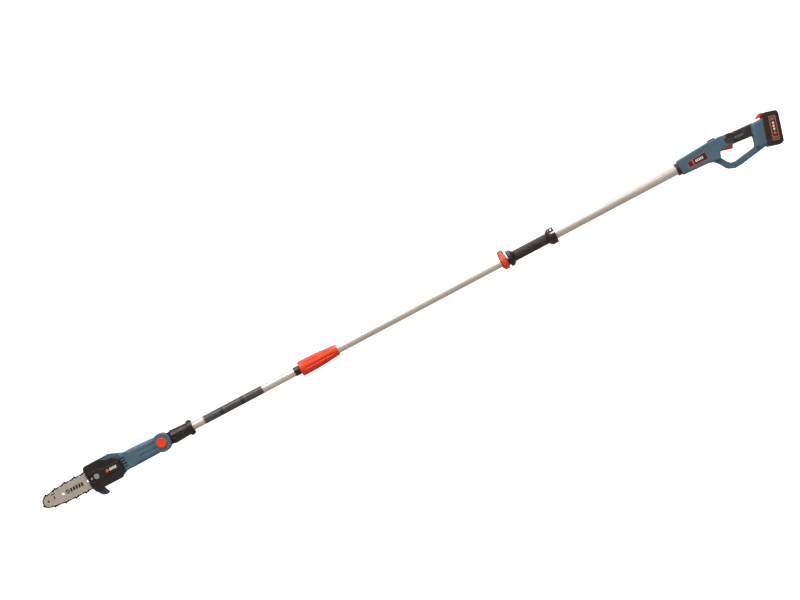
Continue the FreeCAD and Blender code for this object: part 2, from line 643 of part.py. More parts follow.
def build_motor():
    x0, x1 = MOTOR_X
    z = BAR_Z
    can = rod(MOTOR_R, vec(x0, 0, z), vec(x1, 0, z)).cut(
        rod(MOTOR_R - 1.5, vec(x0 + 2, 0, z), vec(x1 + 1, 0, z)))
    nose = x_pipe(6.5, 4.0, x0 - 4, x0 + 1)
    nose.translate(vec(0, 0, z))
    can = fuse_all([can, nose]).cut(x_rod(4.0, x0 - 6, x0 + 6, 0, z))
    magnets = []
    for side in (-1, 1):
        arc = x_pipe(MOTOR_R - 1.5, MOTOR_R - 5.0, x0 + 8, x1 - 8)
        arc.translate(vec(0, 0, z))
        magnets.append(arc.common(block(x0, x1, min(0, side * 30), max(0, side * 30), z - 12, z + 12)))
    stack = x_rod(13.2, x0 + 10, x1 - 16, 0, z)
    grooves = []
    for i in range(5):
        a = 2 * math.pi * i / 5
        grooves.append(x_rod(2.8, x0 + 8, x1 - 14, 12 * math.cos(a), z + 12 * math.sin(a)))
    commutator = x_rod(6.0, x1 - 14, x1 - 6, 0, z)
    tip = SPROCKET_X + GEAR_R - 8
    shaft = x_rod(2.5, tip, x1 + 1.5, 0, z)
    rotor = fuse_all([stack.cut(group(grooves)), commutator, shaft])
    parts["motor_armature"] = group([rotor, build_bevel_pair()])
    cap = rod(MOTOR_R, vec(x1 + 0.1, 0, z), vec(x1 + 7, 0, z)).cut(
        x_rod(2.6, x1 - 1, x1 + 4, 0, z))
    tabs = [block(x1 + 7, x1 + 11, -9 + 16 * i, -5 + 16 * i, z - 0.4 + 6, z + 0.4 + 6)
            for i in (0, 1)]
    parts["motor_can"] = group([can, fuse_all([cap] + tabs)] + magnets)


def build_oil():
    tank = slab([(-259, 37, 5), (-228, 43, 5), (-228, 12, 5), (-259, 12, 5)], 0.5, 25.0)
    hollow = slab([(-257, 35, 4), (-230, 41, 4), (-230, 14, 4), (-257, 14, 4)], 2.5, 23.0)
    x, z, r = OIL_X, OIL_Z, OIL_CAP_R
    way = y_rod(r + FIT, x, z, 22, 40)
    parts["oil_tank"] = tank.cut(hollow).cut(way)
    cap = y_rod(r, x, z, 23.5, 28.5)
    head = y_rod(10.5, x, z, 28.5, 32.0)
    head = head.makeFillet(1.0, rim_edges(head, 32.0))
    grip = block(x - 9, x + 9, 32.0, 34.5, z - 1.4, z + 1.4)
    parts["oil_cap"] = fuse_all([cap, head, grip])


def build_pivot():
    """Tongue, socket and tilt lock between the saw head and the pole."""
    t, top = TONGUE_HALF, 24.7
    disc = y_rod(TONGUE_R, 0, 0, -t, t)
    neck = block(0, 42, -t, t, -NECK_HALF, NECK_HALF)
    sleeve = turned_x([(33.5, 0), (33.5, 19.5), (38.0, top), (58.0, 23.6), (94.0, 21.7),
                       (99.5, 22.2), (101.5, 27.0), (112.0, 27.0), (112.0, 24.5), (116.6, 24.5),
                       (116.6, 0)])
    body = fuse_all([disc, neck, sleeve])
    step = [(36, 4.6, 0.8), (82, 4.6, 3.6), (82, -3.6, 3.6), (36, -3.6, 0.8)]
    slit = [(39, -6.4, 0.7), (77, -6.4, 0.7), (77, -8.4, 0.7), (39, -8.4, 0.7)]
    chamber = y_rod(21.5, 0, 0, 2.6, 8.6).cut(y_rod(7.0, 0, 0, 2.0, 9.0))
    below = block(-30, 30, 0, 12, -30, -3.6)
    cuts = [x_rod(TUBE_R + FIT, 42, 120), x_rod(12.2, 33, 44),
            slab(step, -40, -20.4), slab(slit, -40, -22.6), y_rod(16.2, 0, 0, -t - 1, -1.6),
            y_rod(4.0, 0, 0, 0, 20), chamber.common(below),
            block(0, 40, 2.6, 8.6, -11.0, -3.6), block(-30, 0, 2.6, 8.6, -24.0, -3.6)]
    parts["pole_socket"] = cut_all(body, cuts)
    cap = y_rod(BUTTON_R, 0, 0, -36.0, -22.0)
    cap = cap.makeFillet(2.0, rim_edges(cap, -36.0))
    groove = pipe(BUTTON_R - 3.0, BUTTON_R - 3.8, vec(0, -37, 0), vec(0, -35.4, 0))
    stem = y_rod(12.0, 0, 0, -22.0, -15.1)
    parts["tilt_button"] = fuse_all([cap, stem]).cut(groove)
    parts["index_gear"] = index_shape(0, -15.0, -9.0)
    parts["tilt_spring"] = spring(7.0, 0.6, vec(0, -8.2, 0), vec(0, -2.4, 0), 4)
    bolt = y_rod(4.0, 0, 0, 3.2, 27.0)
    head = y_rod(8.3, 0, 0, 26.6, 30.2)
    head = head.makeFillet(0.8, rim_edges(head, 30.2))
    hexagon = hex_prism(6.0, vec(0, 27.6, 0), vec(0, 31, 0))
    parts["pivot_bolt"] = fuse_all([bolt, head]).cut(hexagon)


# ---------------------------------------------------------------- pole
LEAD_Y, LEAD_Z = 5.5, -7.2


def build_front_pole():
    x0, x1 = FRONT_TUBE_X
    tube = x_pipe(TUBE_R, TUBE_R - TUBE_WALL, 42.1, x1)
    parts["front_tube"] = tube
    lead = x_rod(LEAD_R - 0.5, -44.0, x1 - 40, LEAD_Y, LEAD_Z)
    parts["front_lead"] = lead
    neck, flange = TUBE_R + 0.9, THREAD_R - 0.1
    ferrule = turned_x([(504.0, 0), (504.0, 14.8), (505.2, 15.7), (COUPLING_NUT_X - 0.5, 15.7),
                        (COUPLING_NUT_X - 0.5, neck), (COUPLING_NUT_X + 20, neck),
                        (COUPLING_NUT_X + 20, flange), (COUPLE_X - 0.1, flange),
                        (COUPLE_X - 0.1, 0)])
    bore = [x_rod(TUBE_R, 500, x1), x_rod(10.5, x1 - 2, COUPLE_X + 2)]
    parts["front_ferrule"] = cut_all(ferrule, bore)
    plug = x_rod(10.4, x1 - 40, COUPLE_X + 0.5)
    nose = x_rod(8.0, COUPLE_X + 0.5, COUPLE_X + 18)
    key = block(COUPLE_X, COUPLE_X + 15, -1.5, 1.5, 7.0, 9.2)
    sockets = [x_rod(1.3, COUPLE_X + 4, COUPLE_X + 30, y, 0) for y in (-4, 4)]
    parts["lead_plug"] = fuse_all([plug, nose, key]).cut(group(sockets))


def nut_profile():
    """Outside of the coupling nut: a short barrel, then a long convex taper."""
    x0, x1 = COUPLING_NUT_X, COUPLING_NUT_X + NUT_LENGTH
    barrel = x0 + 34
    start = vec(barrel, 0, COUPLING_NUT_R)
    end = vec(x1 - 1.0, 0, COUPLING_TAIL_R)
    chord = end.sub(start)
    mid = start.add(chord * 0.5).add(vec(0, 0, 1.5))
    edges = [Part.LineSegment(vec(x0, 0, 0), vec(x0, 0, COUPLING_NUT_R - 2)).toShape(),
             Part.LineSegment(vec(x0, 0, COUPLING_NUT_R - 2), vec(x0 + 2, 0, COUPLING_NUT_R)).toShape(),
             Part.LineSegment(vec(x0 + 2, 0, COUPLING_NUT_R), start).toShape(),
             Part.Arc(start, mid, end).toShape(),
             Part.LineSegment(end, vec(x1, 0, COUPLING_TAIL_R - 1)).toShape(),
             Part.LineSegment(vec(x1, 0, COUPLING_TAIL_R - 1), vec(x1, 0, 0)).toShape(),
             Part.LineSegment(vec(x1, 0, 0), vec(x0, 0, 0)).toShape()]
    return Part.Face(Part.Wire(edges)).revolve(vec(0, 0, 0), X, 360)


FLUTES = 9


def build_coupling():
    x0, x1 = COUPLING_NUT_X, COUPLING_NUT_X + NUT_LENGTH
    nut = nut_profile()
    flutes = []
    lean = math.degrees(math.atan2(COUPLING_NUT_R - COUPLING_TAIL_R, NUT_LENGTH - 34))
    for i in range(FLUTES):
        groove = x_rod(5.0, x0 + 14, x1 - 16, 0, COUPLING_NUT_R + 3.2)
        groove = groove.makeFillet(4.5, rim_of_rod(groove))
        groove = turn(groove, vec(x0 + 14, 0, COUPLING_NUT_R), Y, lean * 0.75)
        flutes.append(turn(groove, vec(0, 0, 0), X, 360 / FLUTES * (i + 0.5)))
    bores = [x_rod(TUBE_R + 1.15, x0 - 1, x0 + 21), x_rod(THREAD_R + 0.1, x0 + 19.7, x1 + 1)]
    parts["coupling_nut"] = cut_all(nut, flutes + bores)
    body = x_rod(THREAD_R, COUPLE_X, COUPLE_X + 86)
    bores = [x_rod(TUBE_R, COUPLE_X + 24, x1 + 90), x_rod(11.0, COUPLE_X - 1, COUPLE_X + 26)]
    grooves = []
    for i in range(6):
        x = COUPLE_X + 6 + 4.0 * i
        grooves.append(x_pipe(THREAD_R + 1, THREAD_R - 0.8, x, x + 2.0))
    parts["coupling_insert"] = cut_all(body, bores + grooves)
    housing = x_rod(10.9, COUPLE_X + 1.5, COUPLE_X + 44)
    hollow = x_rod(8.0 + FIT, COUPLE_X, COUPLE_X + 20)
    keyway = block(COUPLE_X, COUPLE_X + 18, -1.7, 1.7, 6.0, 9.5)
    pins = [x_rod(1.2, COUPLE_X + 6, COUPLE_X + 40, y, 0) for y in (-4, 4)]
    parts["lead_socket"] = fuse_all([cut_all(housing, [hollow, keyway])] + pins)


def rim_of_rod(solid):
    return [e for e in solid.Edges if len(e.Vertexes) == 1]


def build_telescope():
    x0 = COUPLE_X + 24.1
    x1 = CLAMP_X + 130
    parts["middle_tube"] = x_pipe(TUBE_R, TUBE_R - TUBE_WALL, x0, x1)
    inner = REAR_TUBE_R - REAR_TUBE_WALL
    bush = x_pipe(inner - FIT, TUBE_R, x1 - 60, x1 - 20)
    parts["slide_bush"] = bush
    front = CLAMP_X + 6
    back = HANDLE_X + 60
    tube = x_pipe(REAR_TUBE_R, inner, front, back)
    parts["rear_tube"] = tube.cut(block(front - 1, front + 14, -40, 0, -1.2, 1.2))
    coil_start = x1 - 90
    coil = x_rod(COIL_R, coil_start, HANDLE_X + 50)
    parts["coiled_lead"] = coil
    parts["middle_lead"] = x_rod(LEAD_R, COUPLE_X + 44.1, coil_start - 0.1)


LEVER_PIN_Y, LEVER_PIN_Z = -9.0, 31.0


def arc_shell(r_out, r_in, x0, x1, start, end):
    """Part of a ring about X; angles in degrees from -Y, rising towards +Z."""
    ring = x_pipe(r_out, r_in, x0, x1)
    points = [vec(x0, 0, 0)]
    steps = 8
    for i in range(steps + 1):
        a = math.radians(start + (end - start) * i / steps)
        points.append(vec(x0, -80 * math.cos(a), 80 * math.sin(a)))
    wedge = Part.Face(Part.makePolygon(points + points[:1])).extrude(vec(x1 - x0, 0, 0))
    return ring.common(wedge)


def build_clamp():
    x0, x1 = CLAMP_X, CLAMP_X + CLAMP_WIDTH
    ring = x_rod(CLAMP_R, x0, x1)
    boss = block(x0 + 2.5, x1 - 2.5, LEVER_PIN_Y + 4.3, 15, 12, 38.6)
    boss = boss.makeFillet(6, [e for e in boss.Edges if abs(e.BoundBox.XLength) > 5
                               and e.BoundBox.ZMin > 38])
    lugs = []
    for x in (x0 + 2.5, x1 - 5.5):
        lug = rod(4.8, vec(x, LEVER_PIN_Y, LEVER_PIN_Z), vec(x + 3, LEVER_PIN_Y, LEVER_PIN_Z))
        web = block(x, x + 3, LEVER_PIN_Y, LEVER_PIN_Y + 6, LEVER_PIN_Z - 4.8, LEVER_PIN_Z + 4.8)
        lugs += [lug, web]
    lip = x_rod(CLAMP_R - 1, x1, x1 + 4.5).common(block(x1, x1 + 5, -40, 40, -40, 1))
    screw_y = y_rod(2.2, (x0 + x1) / 2, 24.0, -20, 20)
    slit = block(x0 - 1, x1 + 1, -1.2, 1.2, 10, 45)
    pin = x_rod(2.0, x0, x1, LEVER_PIN_Y, LEVER_PIN_Z)
    cuts = [x_rod(REAR_TUBE_R, x0 + 6, x1 + 10), x_rod(TUBE_R + GAP, x0 - 1, x0 + 7),
            slit, screw_y, pin]
    parts["clamp_collar"] = cut_all(fuse_all([ring, boss, lip] + lugs), cuts)
    hinge = x_rod(1.95, x0 + 2.6, x1 - 2.6, LEVER_PIN_Y, LEVER_PIN_Z)
    lx0, lx1 = x0 + 2.75, x1 - 2.75
    flap = arc_shell(26.6, CLAMP_R + GAP, lx0, lx1, -68, 52)
    eye = x_rod(3.9, x0 + 6, x1 - 6, LEVER_PIN_Y, LEVER_PIN_Z)
    arm = Part.Face(Part.makePolygon([
        vec(x0 + 6, LEVER_PIN_Y - 3.4, LEVER_PIN_Z + 1.5),
        vec(x0 + 6, LEVER_PIN_Y - 3.0, LEVER_PIN_Z - 2.4),
        vec(x0 + 6, -15.8, 18.0), vec(x0 + 6, -20.0, 17.4),
        vec(x0 + 6, LEVER_PIN_Y - 3.4, LEVER_PIN_Z + 1.5)])).extrude(vec(CLAMP_WIDTH - 12, 0, 0))
    toe = arc_shell(29.2, CLAMP_R + 2, lx0, lx1, -72, -60)
    pin_hole = x_rod(2.0, x0, x1, LEVER_PIN_Y, LEVER_PIN_Z)
    parts["clamp_lever"] = fuse_all([flap, arm, eye, toe]).cut(pin_hole)
    bolt = y_rod(2.1, (x0 + x1) / 2, 24.0, -4.5, 16.5)
    head = y_rod(4.2, (x0 + x1) / 2, 24.0, 15.1, 18.0)
    parts["clamp_pins"] = group([hinge, fuse_all([bolt, head])])


def build_front_grip():
    x0, x1 = GRIP_X
    r = GRIP_R
    core = turned_x([(x0, 0), (x0, FLANGE_R - 3), (x0 + 1.5, FLANGE_R), (x0 + 12, FLANGE_R),
                     (x0 + 14.5, FLANGE_R - 3.5), (x0 + 19, r + 1.8), (x0 + 25, r - 1.6),
                     (x1 - 34, r - 1.6), (x1 - 30, r + 2.4), (x1 - 24.5, FLANGE_R - 3),
                     (x1 - 22, FLANGE_R), (x1 - 1.5, FLANGE_R), (x1, FLANGE_R - 1.5), (x1, 0)])
    eye = y_rod(EYE_R, EYE_X, EYE_Z, -40, 40)
    flat = block(EYE_X - 7.5, EYE_X + 20, -40, -8.0, 8, 40)
    other = block(EYE_X - 7.5, EYE_X + 20, 8.0, 40, 8, 40)
    cuts = [x_rod(REAR_TUBE_R, x0 - 1, x1 + 1), eye, flat, other]
    parts["front_grip"] = cut_all(core, cuts)
    sleeve = x_pipe(r, r - 1.6, x0 + 25.2, x1 - 34.2)
    grooves = []
    count = 14
    for i in range(count):
        x = x0 + 34 + i * (x1 - x0 - 77) / (count - 1)
        grooves.append(x_pipe(r + 1, r - 0.7, x - 1.2, x + 1.2))
    parts["front_grip_sleeve"] = cut_all(sleeve, grooves)


# ---------------------------------------------------------------- rear handle
PACK_H, PACK_Z = 336.6, -26.0       # middle of the battery, from the handle's front face
DOCK_FACE = -PACK_THICK / 2         # battery front face in the battery's own frame
CHANNEL_FLOOR = -47.0


def along(corners):
    """Move handle outlines from the handle's front face to the pole's X."""
    return [(HANDLE_X + h, z, r) for h, z, r in corners]


def in_pack(shape):
    """Place a shape drawn in the battery's own frame (X back, Z up the battery)."""
    moved = turn(shape, vec(0, 0, 0), Y, PACK_TILT)
    moved.translate(vec(HANDLE_X + PACK_H, 0, PACK_Z))
    return moved


HOUSING = [(0, 27, 7), (124, 34.6, 60), (207, 28.5, 9), (207, -9, 12), (145, -13, 10),
           (138, -36, 10), (96, -30.6, 30), (0, -25.5, 7)]
BUMP = [(119, 20, 4), (125, 38.8, 5), (148, 38.8, 5), (156, 20, 4)]
HANDGRIP = [(168, 29.5, 9), (279, 22.5, 9), (302, 20.5, 9), (302, -25, 9), (262, -17.5, 12),
            (197, -11.5, 12), (168, -10, 9)]
GUARD_OUT = [(88, -14, 6), (97, -31, 12), (113, -36, 18), (128, -54, 60), (142, -77, 26),
             (168, -87.5, 20), (192, -85.5, 30), (300, -68, 6), (300, -14, 6)]
HAND_HOLE = [(138, -4, 3), (138, -31, 18), (150, -52, 40), (160, -63.5, 18), (177, -65.5, 10),
             (254, -53.5, 9), (261.5, -43, 10), (267, -14, 3), (262, -4, 3)]
COLUMN = [(280.5, 20.5, 10), (344, 20.5, 10), (318, -70, 10), (256, -61, 10), (262.5, -44, 14)]
RUBBER = [(185, 60, 0), (185, 19, 4), (172, 17, 3), (177.5, -2.5, 4), (192, -6, 4),
          (197, -8, 3), (199, -40, 0), (262, -40, 0), (268, -10, 4), (281, 22, 4), (285, 60, 0)]


def handle_outer():
    front = soft_slab(along(HOUSING), -BODY_HALF, BODY_HALF, 5.5, 5.5)
    grip = soft_slab(along(HANDGRIP), -HANDGRIP_HALF, HANDGRIP_HALF, 8.5, 8.5)
    guard = soft_slab(along(GUARD_OUT), -GUARD_HALF, GUARD_HALF, 4.5, 4.5)
    hole = slab(along(HAND_HOLE), -GUARD_HALF - 1, GUARD_HALF + 1)
    guard = guard.cut(hole)
    edge = rims_within(guard, hole, -GUARD_HALF) + rims_within(guard, hole, GUARD_HALF)
    guard = guard.makeFillet(4.0, edge)
    column = soft_slab(along(COLUMN), -DOCK_HALF, DOCK_HALF, 8, 8)
    bump = soft_slab(along(BUMP), -15, 15, 3.5, 3.5)
    return fuse_all([front, grip, guard, column, bump])


def inset(corners, amount, y0, y1):
    """The same outline drawn in by a wall thickness."""
    face = Part.Face(rounded_wire(along(corners), y0))
    return face.makeOffset2D(-amount).extrude(vec(0, y1 - y0, 0))


def handle_hollow():
    room = inset(HOUSING, WALL, -BODY_HALF + WALL, BODY_HALF - WALL)
    grip = inset(HANDGRIP, WALL + 2.2, -HANDGRIP_HALF + WALL + 2.2, HANDGRIP_HALF - WALL - 2.2)
    hole = Part.Face(rounded_wire(along(HAND_HOLE), -GUARD_HALF + WALL))
    hole = hole.makeOffset2D(WALL).extrude(vec(0, 2 * (GUARD_HALF - WALL), 0))
    guard = inset(GUARD_OUT, WALL, -GUARD_HALF + WALL, GUARD_HALF - WALL).cut(hole)
    passage = block(HANDLE_X + 240, HANDLE_X + 280, -12.4, 12.4, -13, 13)
    column = in_pack(block(-62, -41.5, -DOCK_HALF + 6, DOCK_HALF - 6, -36, 36))
    column = column.common(inset(COLUMN, WALL, -DOCK_HALF + 3, DOCK_HALF - 3))
    return [room, grip, guard, passage, column]


def dock_cuts():
    """T-shaped channel that the battery's foot slides down into."""
    top = 90
    neck = block(-33, DOCK_FACE + 30, -18.5, 18.5, CHANNEL_FLOOR, top)
    foot = block(-38.6, -31.6, -23.5, 23.5, CHANNEL_FLOOR, top)
    face = block(DOCK_FACE - 0.4, 60, -60, 60, -90, 90)
    window = block(-47, -38, -15.2, 15.2, CHANNEL_FLOOR + 1.8, CHANNEL_FLOOR + 12.2)
    return [in_pack(neck), in_pack(foot), in_pack(face), in_pack(window)]


TRIGGER_H, TRIGGER_Z = 149.0, -5.0
HANDLE_LABEL = [(27.5, 7, 3), (99.5, 11.5, 3), (99.5, -17.5, 3), (27.5, -14, 3)]


def handle_openings():
    """Tube bore, trigger slot, lock-off slot, label seat and the parting detail."""
    x = HANDLE_X
    bore = x_rod(REAR_TUBE_R + FIT, x - 1, x + 64)
    trigger = block(x + 144.5, x + 198, -7.4, 7.4, -30, 0)
    lock = slab(along([(155, 60, 0), (176, 60, 0), (176, 20, 0), (155, 20, 0)]), -6.35, 6.35)
    plate = slab(along(HANDLE_LABEL), -BODY_HALF - 1, -BODY_HALF + 0.9)
    mirror = slab(along(HANDLE_LABEL), BODY_HALF - 0.9, BODY_HALF + 1)
    return [bore, trigger, lock, plate, mirror]


# each screw's place along and above the handle, and how far out its seat lies
HANDLE_SCREWS = ((12, 20.9, 24), (12, -20.7, 24), (78, -25, 24), (128, 26, 24), (126, -27, 24),
                 (171, -75.6, 11.5), (272, -61.5, 31), (214, 16, 17), (262, 11, 17))


def build_handle():
    outer = handle_outer()
    rubber_zone = slab(along(RUBBER), -40, 40)
    core = inset(HANDGRIP, 2.2, -HANDGRIP_HALF + 2.2, HANDGRIP_HALF - 2.2)
    wide_core = inset(HOUSING, 2.2, -BODY_HALF + 2.2, BODY_HALF - 2.2)
    keep = fuse_all([core, wide_core.common(block(HANDLE_X, HANDLE_X + 205, -40, 40, -90, 90))])
    rubber = outer.common(rubber_zone).cut(keep)
    rubber = rubber.cut(in_pack(block(-70, 10, -60, 60, -90, 90)))
    body = outer.cut(rubber)
    body = cut_all(body, handle_hollow() + handle_openings() + dock_cuts())
    tube_seat = x_pipe(REAR_TUBE_R + 3.4, REAR_TUBE_R + FIT, HANDLE_X + 4, HANDLE_X + 20)
    body = fuse_all([body, tube_seat])
    screws, holes, posts = [], [], []
    for h, z, seat in HANDLE_SCREWS:
        x = HANDLE_X + h
        posts.append(y_rod(4.0, x, z, -seat + 2.4, seat - 2.4))
        holes.append(y_rod(3.7, x, z, seat - 4, seat + 20))
        holes.append(y_rod(1.75, x, z, -seat + 3.8, seat + 5))
        one = turn(screw(x, z, 0, 2 * seat - 7.6), vec(x, 0, z), Z, 180)
        one.translate(vec(0, seat - 1.6, 0))
        screws.append(one)
    body = cut_all(fuse_all([body] + posts), holes)
    everything = 3000
    left = body.common(block(0, everything, -60, 0, -120, 120))
    right = body.common(block(0, everything, 0, 60, -120, 120))
    parts["handle_shell_left"] = left
    parts["handle_shell_right"] = right
    rubber = cut_all(rubber, handle_openings()[1:2] + holes)
    sides = [rubber.common(block(0, everything, -60, 0, -120, 120)),
             rubber.common(block(0, everything, 0, 60, -120, 120))]
    parts["grip_overmould"] = group([solid for side in sides for solid in side.Solids
                                     if solid.Volume > 50])
    parts["handle_screws"] = group(screws)
    ring = x_pipe(21.5, REAR_TUBE_R, HANDLE_X - 13, HANDLE_X - 0.2)
    ribs = [x_pipe(23, 20.3, HANDLE_X - 11 + 4 * i, HANDLE_X - 9 + 4 * i) for i in range(3)]
    parts["tube_ring"] = cut_all(ring, ribs)


# ---------------------------------------------------------------- inside the handle
def at_handle(h0, h1, y0, y1, z0, z1):
    return block(HANDLE_X + h0, HANDLE_X + h1, y0, y1, z0, z1)


def build_controls():
    """Trigger, its switch and springs, the lock-off button and the control board."""
    x, z = HANDLE_X + TRIGGER_H, TRIGGER_Z
    wedge = [(146, -6, 3), (146, -12.5, 1.5), (189.5, -24.5, 2.5), (195.5, -13, 2.5),
             (195.5, -4, 1.5), (186, -4.5, 1.5), (176, -6.5, 1.5), (156, -1.5, 3)]
    body = soft_slab(along(wedge), -7.0, 7.0, 1.2, 1.2)
    parts["trigger"] = fuse_all([body, y_rod(2.4, x + 2, z - 1, -10.5, 10.5)])
    parts["trigger_spring"] = spring(2.2, 0.4, vec(x + 24, 0, z + 0.6), vec(x + 24, 0, 3.6), 4)
    body = at_handle(154, 186, -9, 9, 4.2, 20.0)
    lugs = [at_handle(184, 190, -6, -3, 8, 14), at_handle(184, 190, 3, 6, 8, 14)]
    bore = rod(2.0 + FIT, vec(x + 32, 0, 3), vec(x + 32, 0, 16))
    parts["switch_body"] = cut_all(fuse_all([body] + lugs), [bore])
    parts["switch_plunger"] = rod(2.0, vec(x + 32, 0, -4.6), vec(x + 32, 0, 12.0))
    button = [(155.4, 34.0, 1.5), (175.6, 32.6, 1.5), (175.6, 24.5, 0.8), (155.4, 24.5, 0.8)]
    flange = at_handle(153.5, 177.5, -8.5, 8.5, 25.0, 27.2)
    parts["lock_off_button"] = fuse_all([soft_slab(along(button), -6.0, 6.0, 1.0, 1.0), flange])
    parts["lock_off_spring"] = spring(2.4, 0.4, vec(x + 14, 0, 20.6), vec(x + 14, 0, 23.9), 3)
    board = at_handle(66, 124, -15, 15, -0.8, 0.8)
    chips = [at_handle(74, 90, -10, 6, 0.8, 6.0), at_handle(96, 102, -12, -6, 0.8, 12),
             at_handle(106, 118, -4, 10, 0.8, 4.0)]
    board = fuse_all([board] + chips)
    clamp = at_handle(28, 56, -20.5, 20.5, -20, 20).cut(
        x_rod(REAR_TUBE_R, HANDLE_X, HANDLE_X + 80))
    parts["tube_clamp"] = clamp
    wires = []
    for y in (-10.5, 10.5):
        points = [(124.2, 2.0), (284.0, 2.0), (275.5, -40.0)]
        wires.append(bent_rod(1.4, [vec(HANDLE_X + h, y, zz) for h, zz in points]))
    parts["control_board"] = group([board] + wires)


def bent_rod(r, points):
    """Round rod along straight runs joined by tangent arcs."""
    edges = []
    start = points[0]
    for i in range(1, len(points) - 1):
        before, here, after = points[i - 1], points[i], points[i + 1]
        back = before.sub(here)
        on = after.sub(here)
        reach = 0.45 * min(back.Length, on.Length)
        a = here.add(back.normalize() * reach)
        b = here.add(on.normalize() * reach)
        half = back.getAngle(on) / 2
        radius = reach * math.tan(half)
        middle = here.add(back.add(on).normalize() * (radius / math.sin(half) - radius))
        edges += [Part.LineSegment(start, a).toShape(), Part.Arc(a, middle, b).toShape()]
        start = b
    edges.append(Part.LineSegment(start, points[-1]).toShape())
    heading = points[1].sub(points[0])
    ring = Part.Wire(Part.makeCircle(r, points[0], heading))
    return Part.Wire(edges).makePipeShell([ring], True, True)


def build_terminals():
    base = block(-46.5, -38.3, -15, 15, CHANNEL_FLOOR + 2, CHANNEL_FLOOR + 12)
    front = block(-38.4, -32.2, -15, 15, CHANNEL_FLOOR + 0.3, CHANNEL_FLOOR + 7)
    blades = [block(-37.2, -33.6, y - 0.4, y + 0.4, CHANNEL_FLOOR + 5, CHANNEL_FLOOR + 24)
              for y in (-10, 0, 10)]
    holder = cut_all(fuse_all([base, front]), blades)
    parts["terminal_block"] = in_pack(group([holder] + blades))


# ---------------------------------------------------------------- battery
PACK_SPLIT = -8.0
FOOT_TOP = 38.0
PACK_LABEL = [(-9, 41.5, 2.5), (15, 41.5, 2.5), (15, -42.5, 2.5), (-9, -42.5, 2.5)]


def build_battery():
    half_t, half_l = PACK_THICK / 2, PACK_LENGTH / 2
    corners = [(-half_t, half_l - 3, 4), (-half_t + 12, half_l, 8), (half_t - 4, half_l, 9),
               (half_t, half_l - 14, 9), (half_t, -half_l + 8, 9), (half_t - 10, -half_l, 9),
               (-half_t, -half_l, 7)]
    body = soft_slab(corners, -PACK_HALF, PACK_HALF, 3.8, 3.8)
    raised = [(-half_t + 13, half_l - 11, 6), (half_t - 7, half_l - 11, 6),
              (half_t - 7, -half_l + 10, 6), (-half_t + 13, -half_l + 10, 6)]
    panels = [soft_slab(raised, -PACK_HALF - 1.6, -PACK_HALF + 3, 1.2, 0),
              soft_slab(raised, PACK_HALF - 3, PACK_HALF + 1.6, 0, 1.2)]
    ribs = []
    for i in range(9):
        z = -half_l + 17 + 9.0 * i
        ribs.append(block(half_t - 1.2, half_t + 4, -PACK_HALF + 10, PACK_HALF - 10, z, z + 3.0))
    neck = block(-32.4, DOCK_FACE + 3, -18.0, 18.0, CHANNEL_FLOOR + 9, FOOT_TOP)
    foot = block(-38.1, -32.1, -23.0, 23.0, CHANNEL_FLOOR + 9, FOOT_TOP)
    body = cut_all(fuse_all([body, neck, foot] + panels), ribs)
    room = [(-half_t + WALL, half_l - 6, 4), (half_t - WALL - 2, half_l - 6, 6),
            (half_t - WALL - 2, -half_l + 5, 6), (-half_t + WALL, -half_l + 5, 4)]
    slots = [block(-37.6, -33.0, y - 1.0, y + 1.0, CHANNEL_FLOOR, CHANNEL_FLOOR + 28)
             for y in (-10, 0, 10)]
    pocket = [(-34, half_l + 5, 0), (-20, half_l + 5, 0), (-20, half_l - 15, 0),
              (-34, half_l - 15, 0)]
    seats = []
    for side in (-1, 1):
        face = PACK_HALF + 1.6
        seats.append(slab(PACK_LABEL, min(side * (face - 0.9), side * (face + 2)),
                          max(side * (face - 0.9), side * (face + 2))))
    body = cut_all(body, [slab(room, -PACK_HALF + WALL, PACK_HALF - WALL)] + slots + seats
                   + [slab(pocket, -15.5, 15.5)])
    front = body.common(block(-60, PACK_SPLIT, -60, 60, -90, 90))
    rear = body.common(block(PACK_SPLIT, 60, -60, 60, -90, 90))
    parts["battery_case_front"] = in_pack(front)
    parts["battery_case_rear"] = in_pack(rear)
    cells = []
    for i in range(5):
        z = -37.0 + 17.6 * i
        cells.append(y_rod(9.0, -14.5 if i % 2 else 11.0, z, -32.5, 32.5))
    parts["battery_cells"] = in_pack(group(cells))
    button = [(-47.0, 44.5, 1.2), (-43.5, 41.0, 1.2), (-29.0, 46.8, 0), (-22.0, 46.8, 1.2),
              (-22.0, 58.5, 2), (-32.5, 58.5, 3)]
    parts["battery_button"] = in_pack(soft_slab(button, -14.5, 14.5, 1.0, 1.0))


# ---------------------------------------------------------------- build and write
def write_all():
    os.makedirs("parts", exist_ok=True)
    for name, shape in parts.items():
        moved = shape.copy()
        moved.translate(ORIGIN.negative())
        moved.exportStep("parts/" + name + ".step")
        print(name, len(moved.Solids), "solids", "valid" if moved.isValid() else "INVALID")


STEPS = (build_chain, build_bar, build_cover, build_cover_fasteners, build_head_shells,
         build_drive, build_motor, build_oil, build_pivot, build_front_pole, build_coupling,
         build_telescope, build_clamp, build_front_grip, build_handle, build_controls,
         build_terminals, build_battery)
for step in STEPS:
    step()
write_all()
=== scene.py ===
"""Telescoping pole saw: finishes, trim, stage and camera, laid out as an add-on and run as a script."""

import json
import math

import bmesh
import bpy
from bpy.props import FloatProperty, FloatVectorProperty, IntProperty, PointerProperty
from bpy.types import Operator, Panel, PropertyGroup
from mathutils import Matrix, Vector


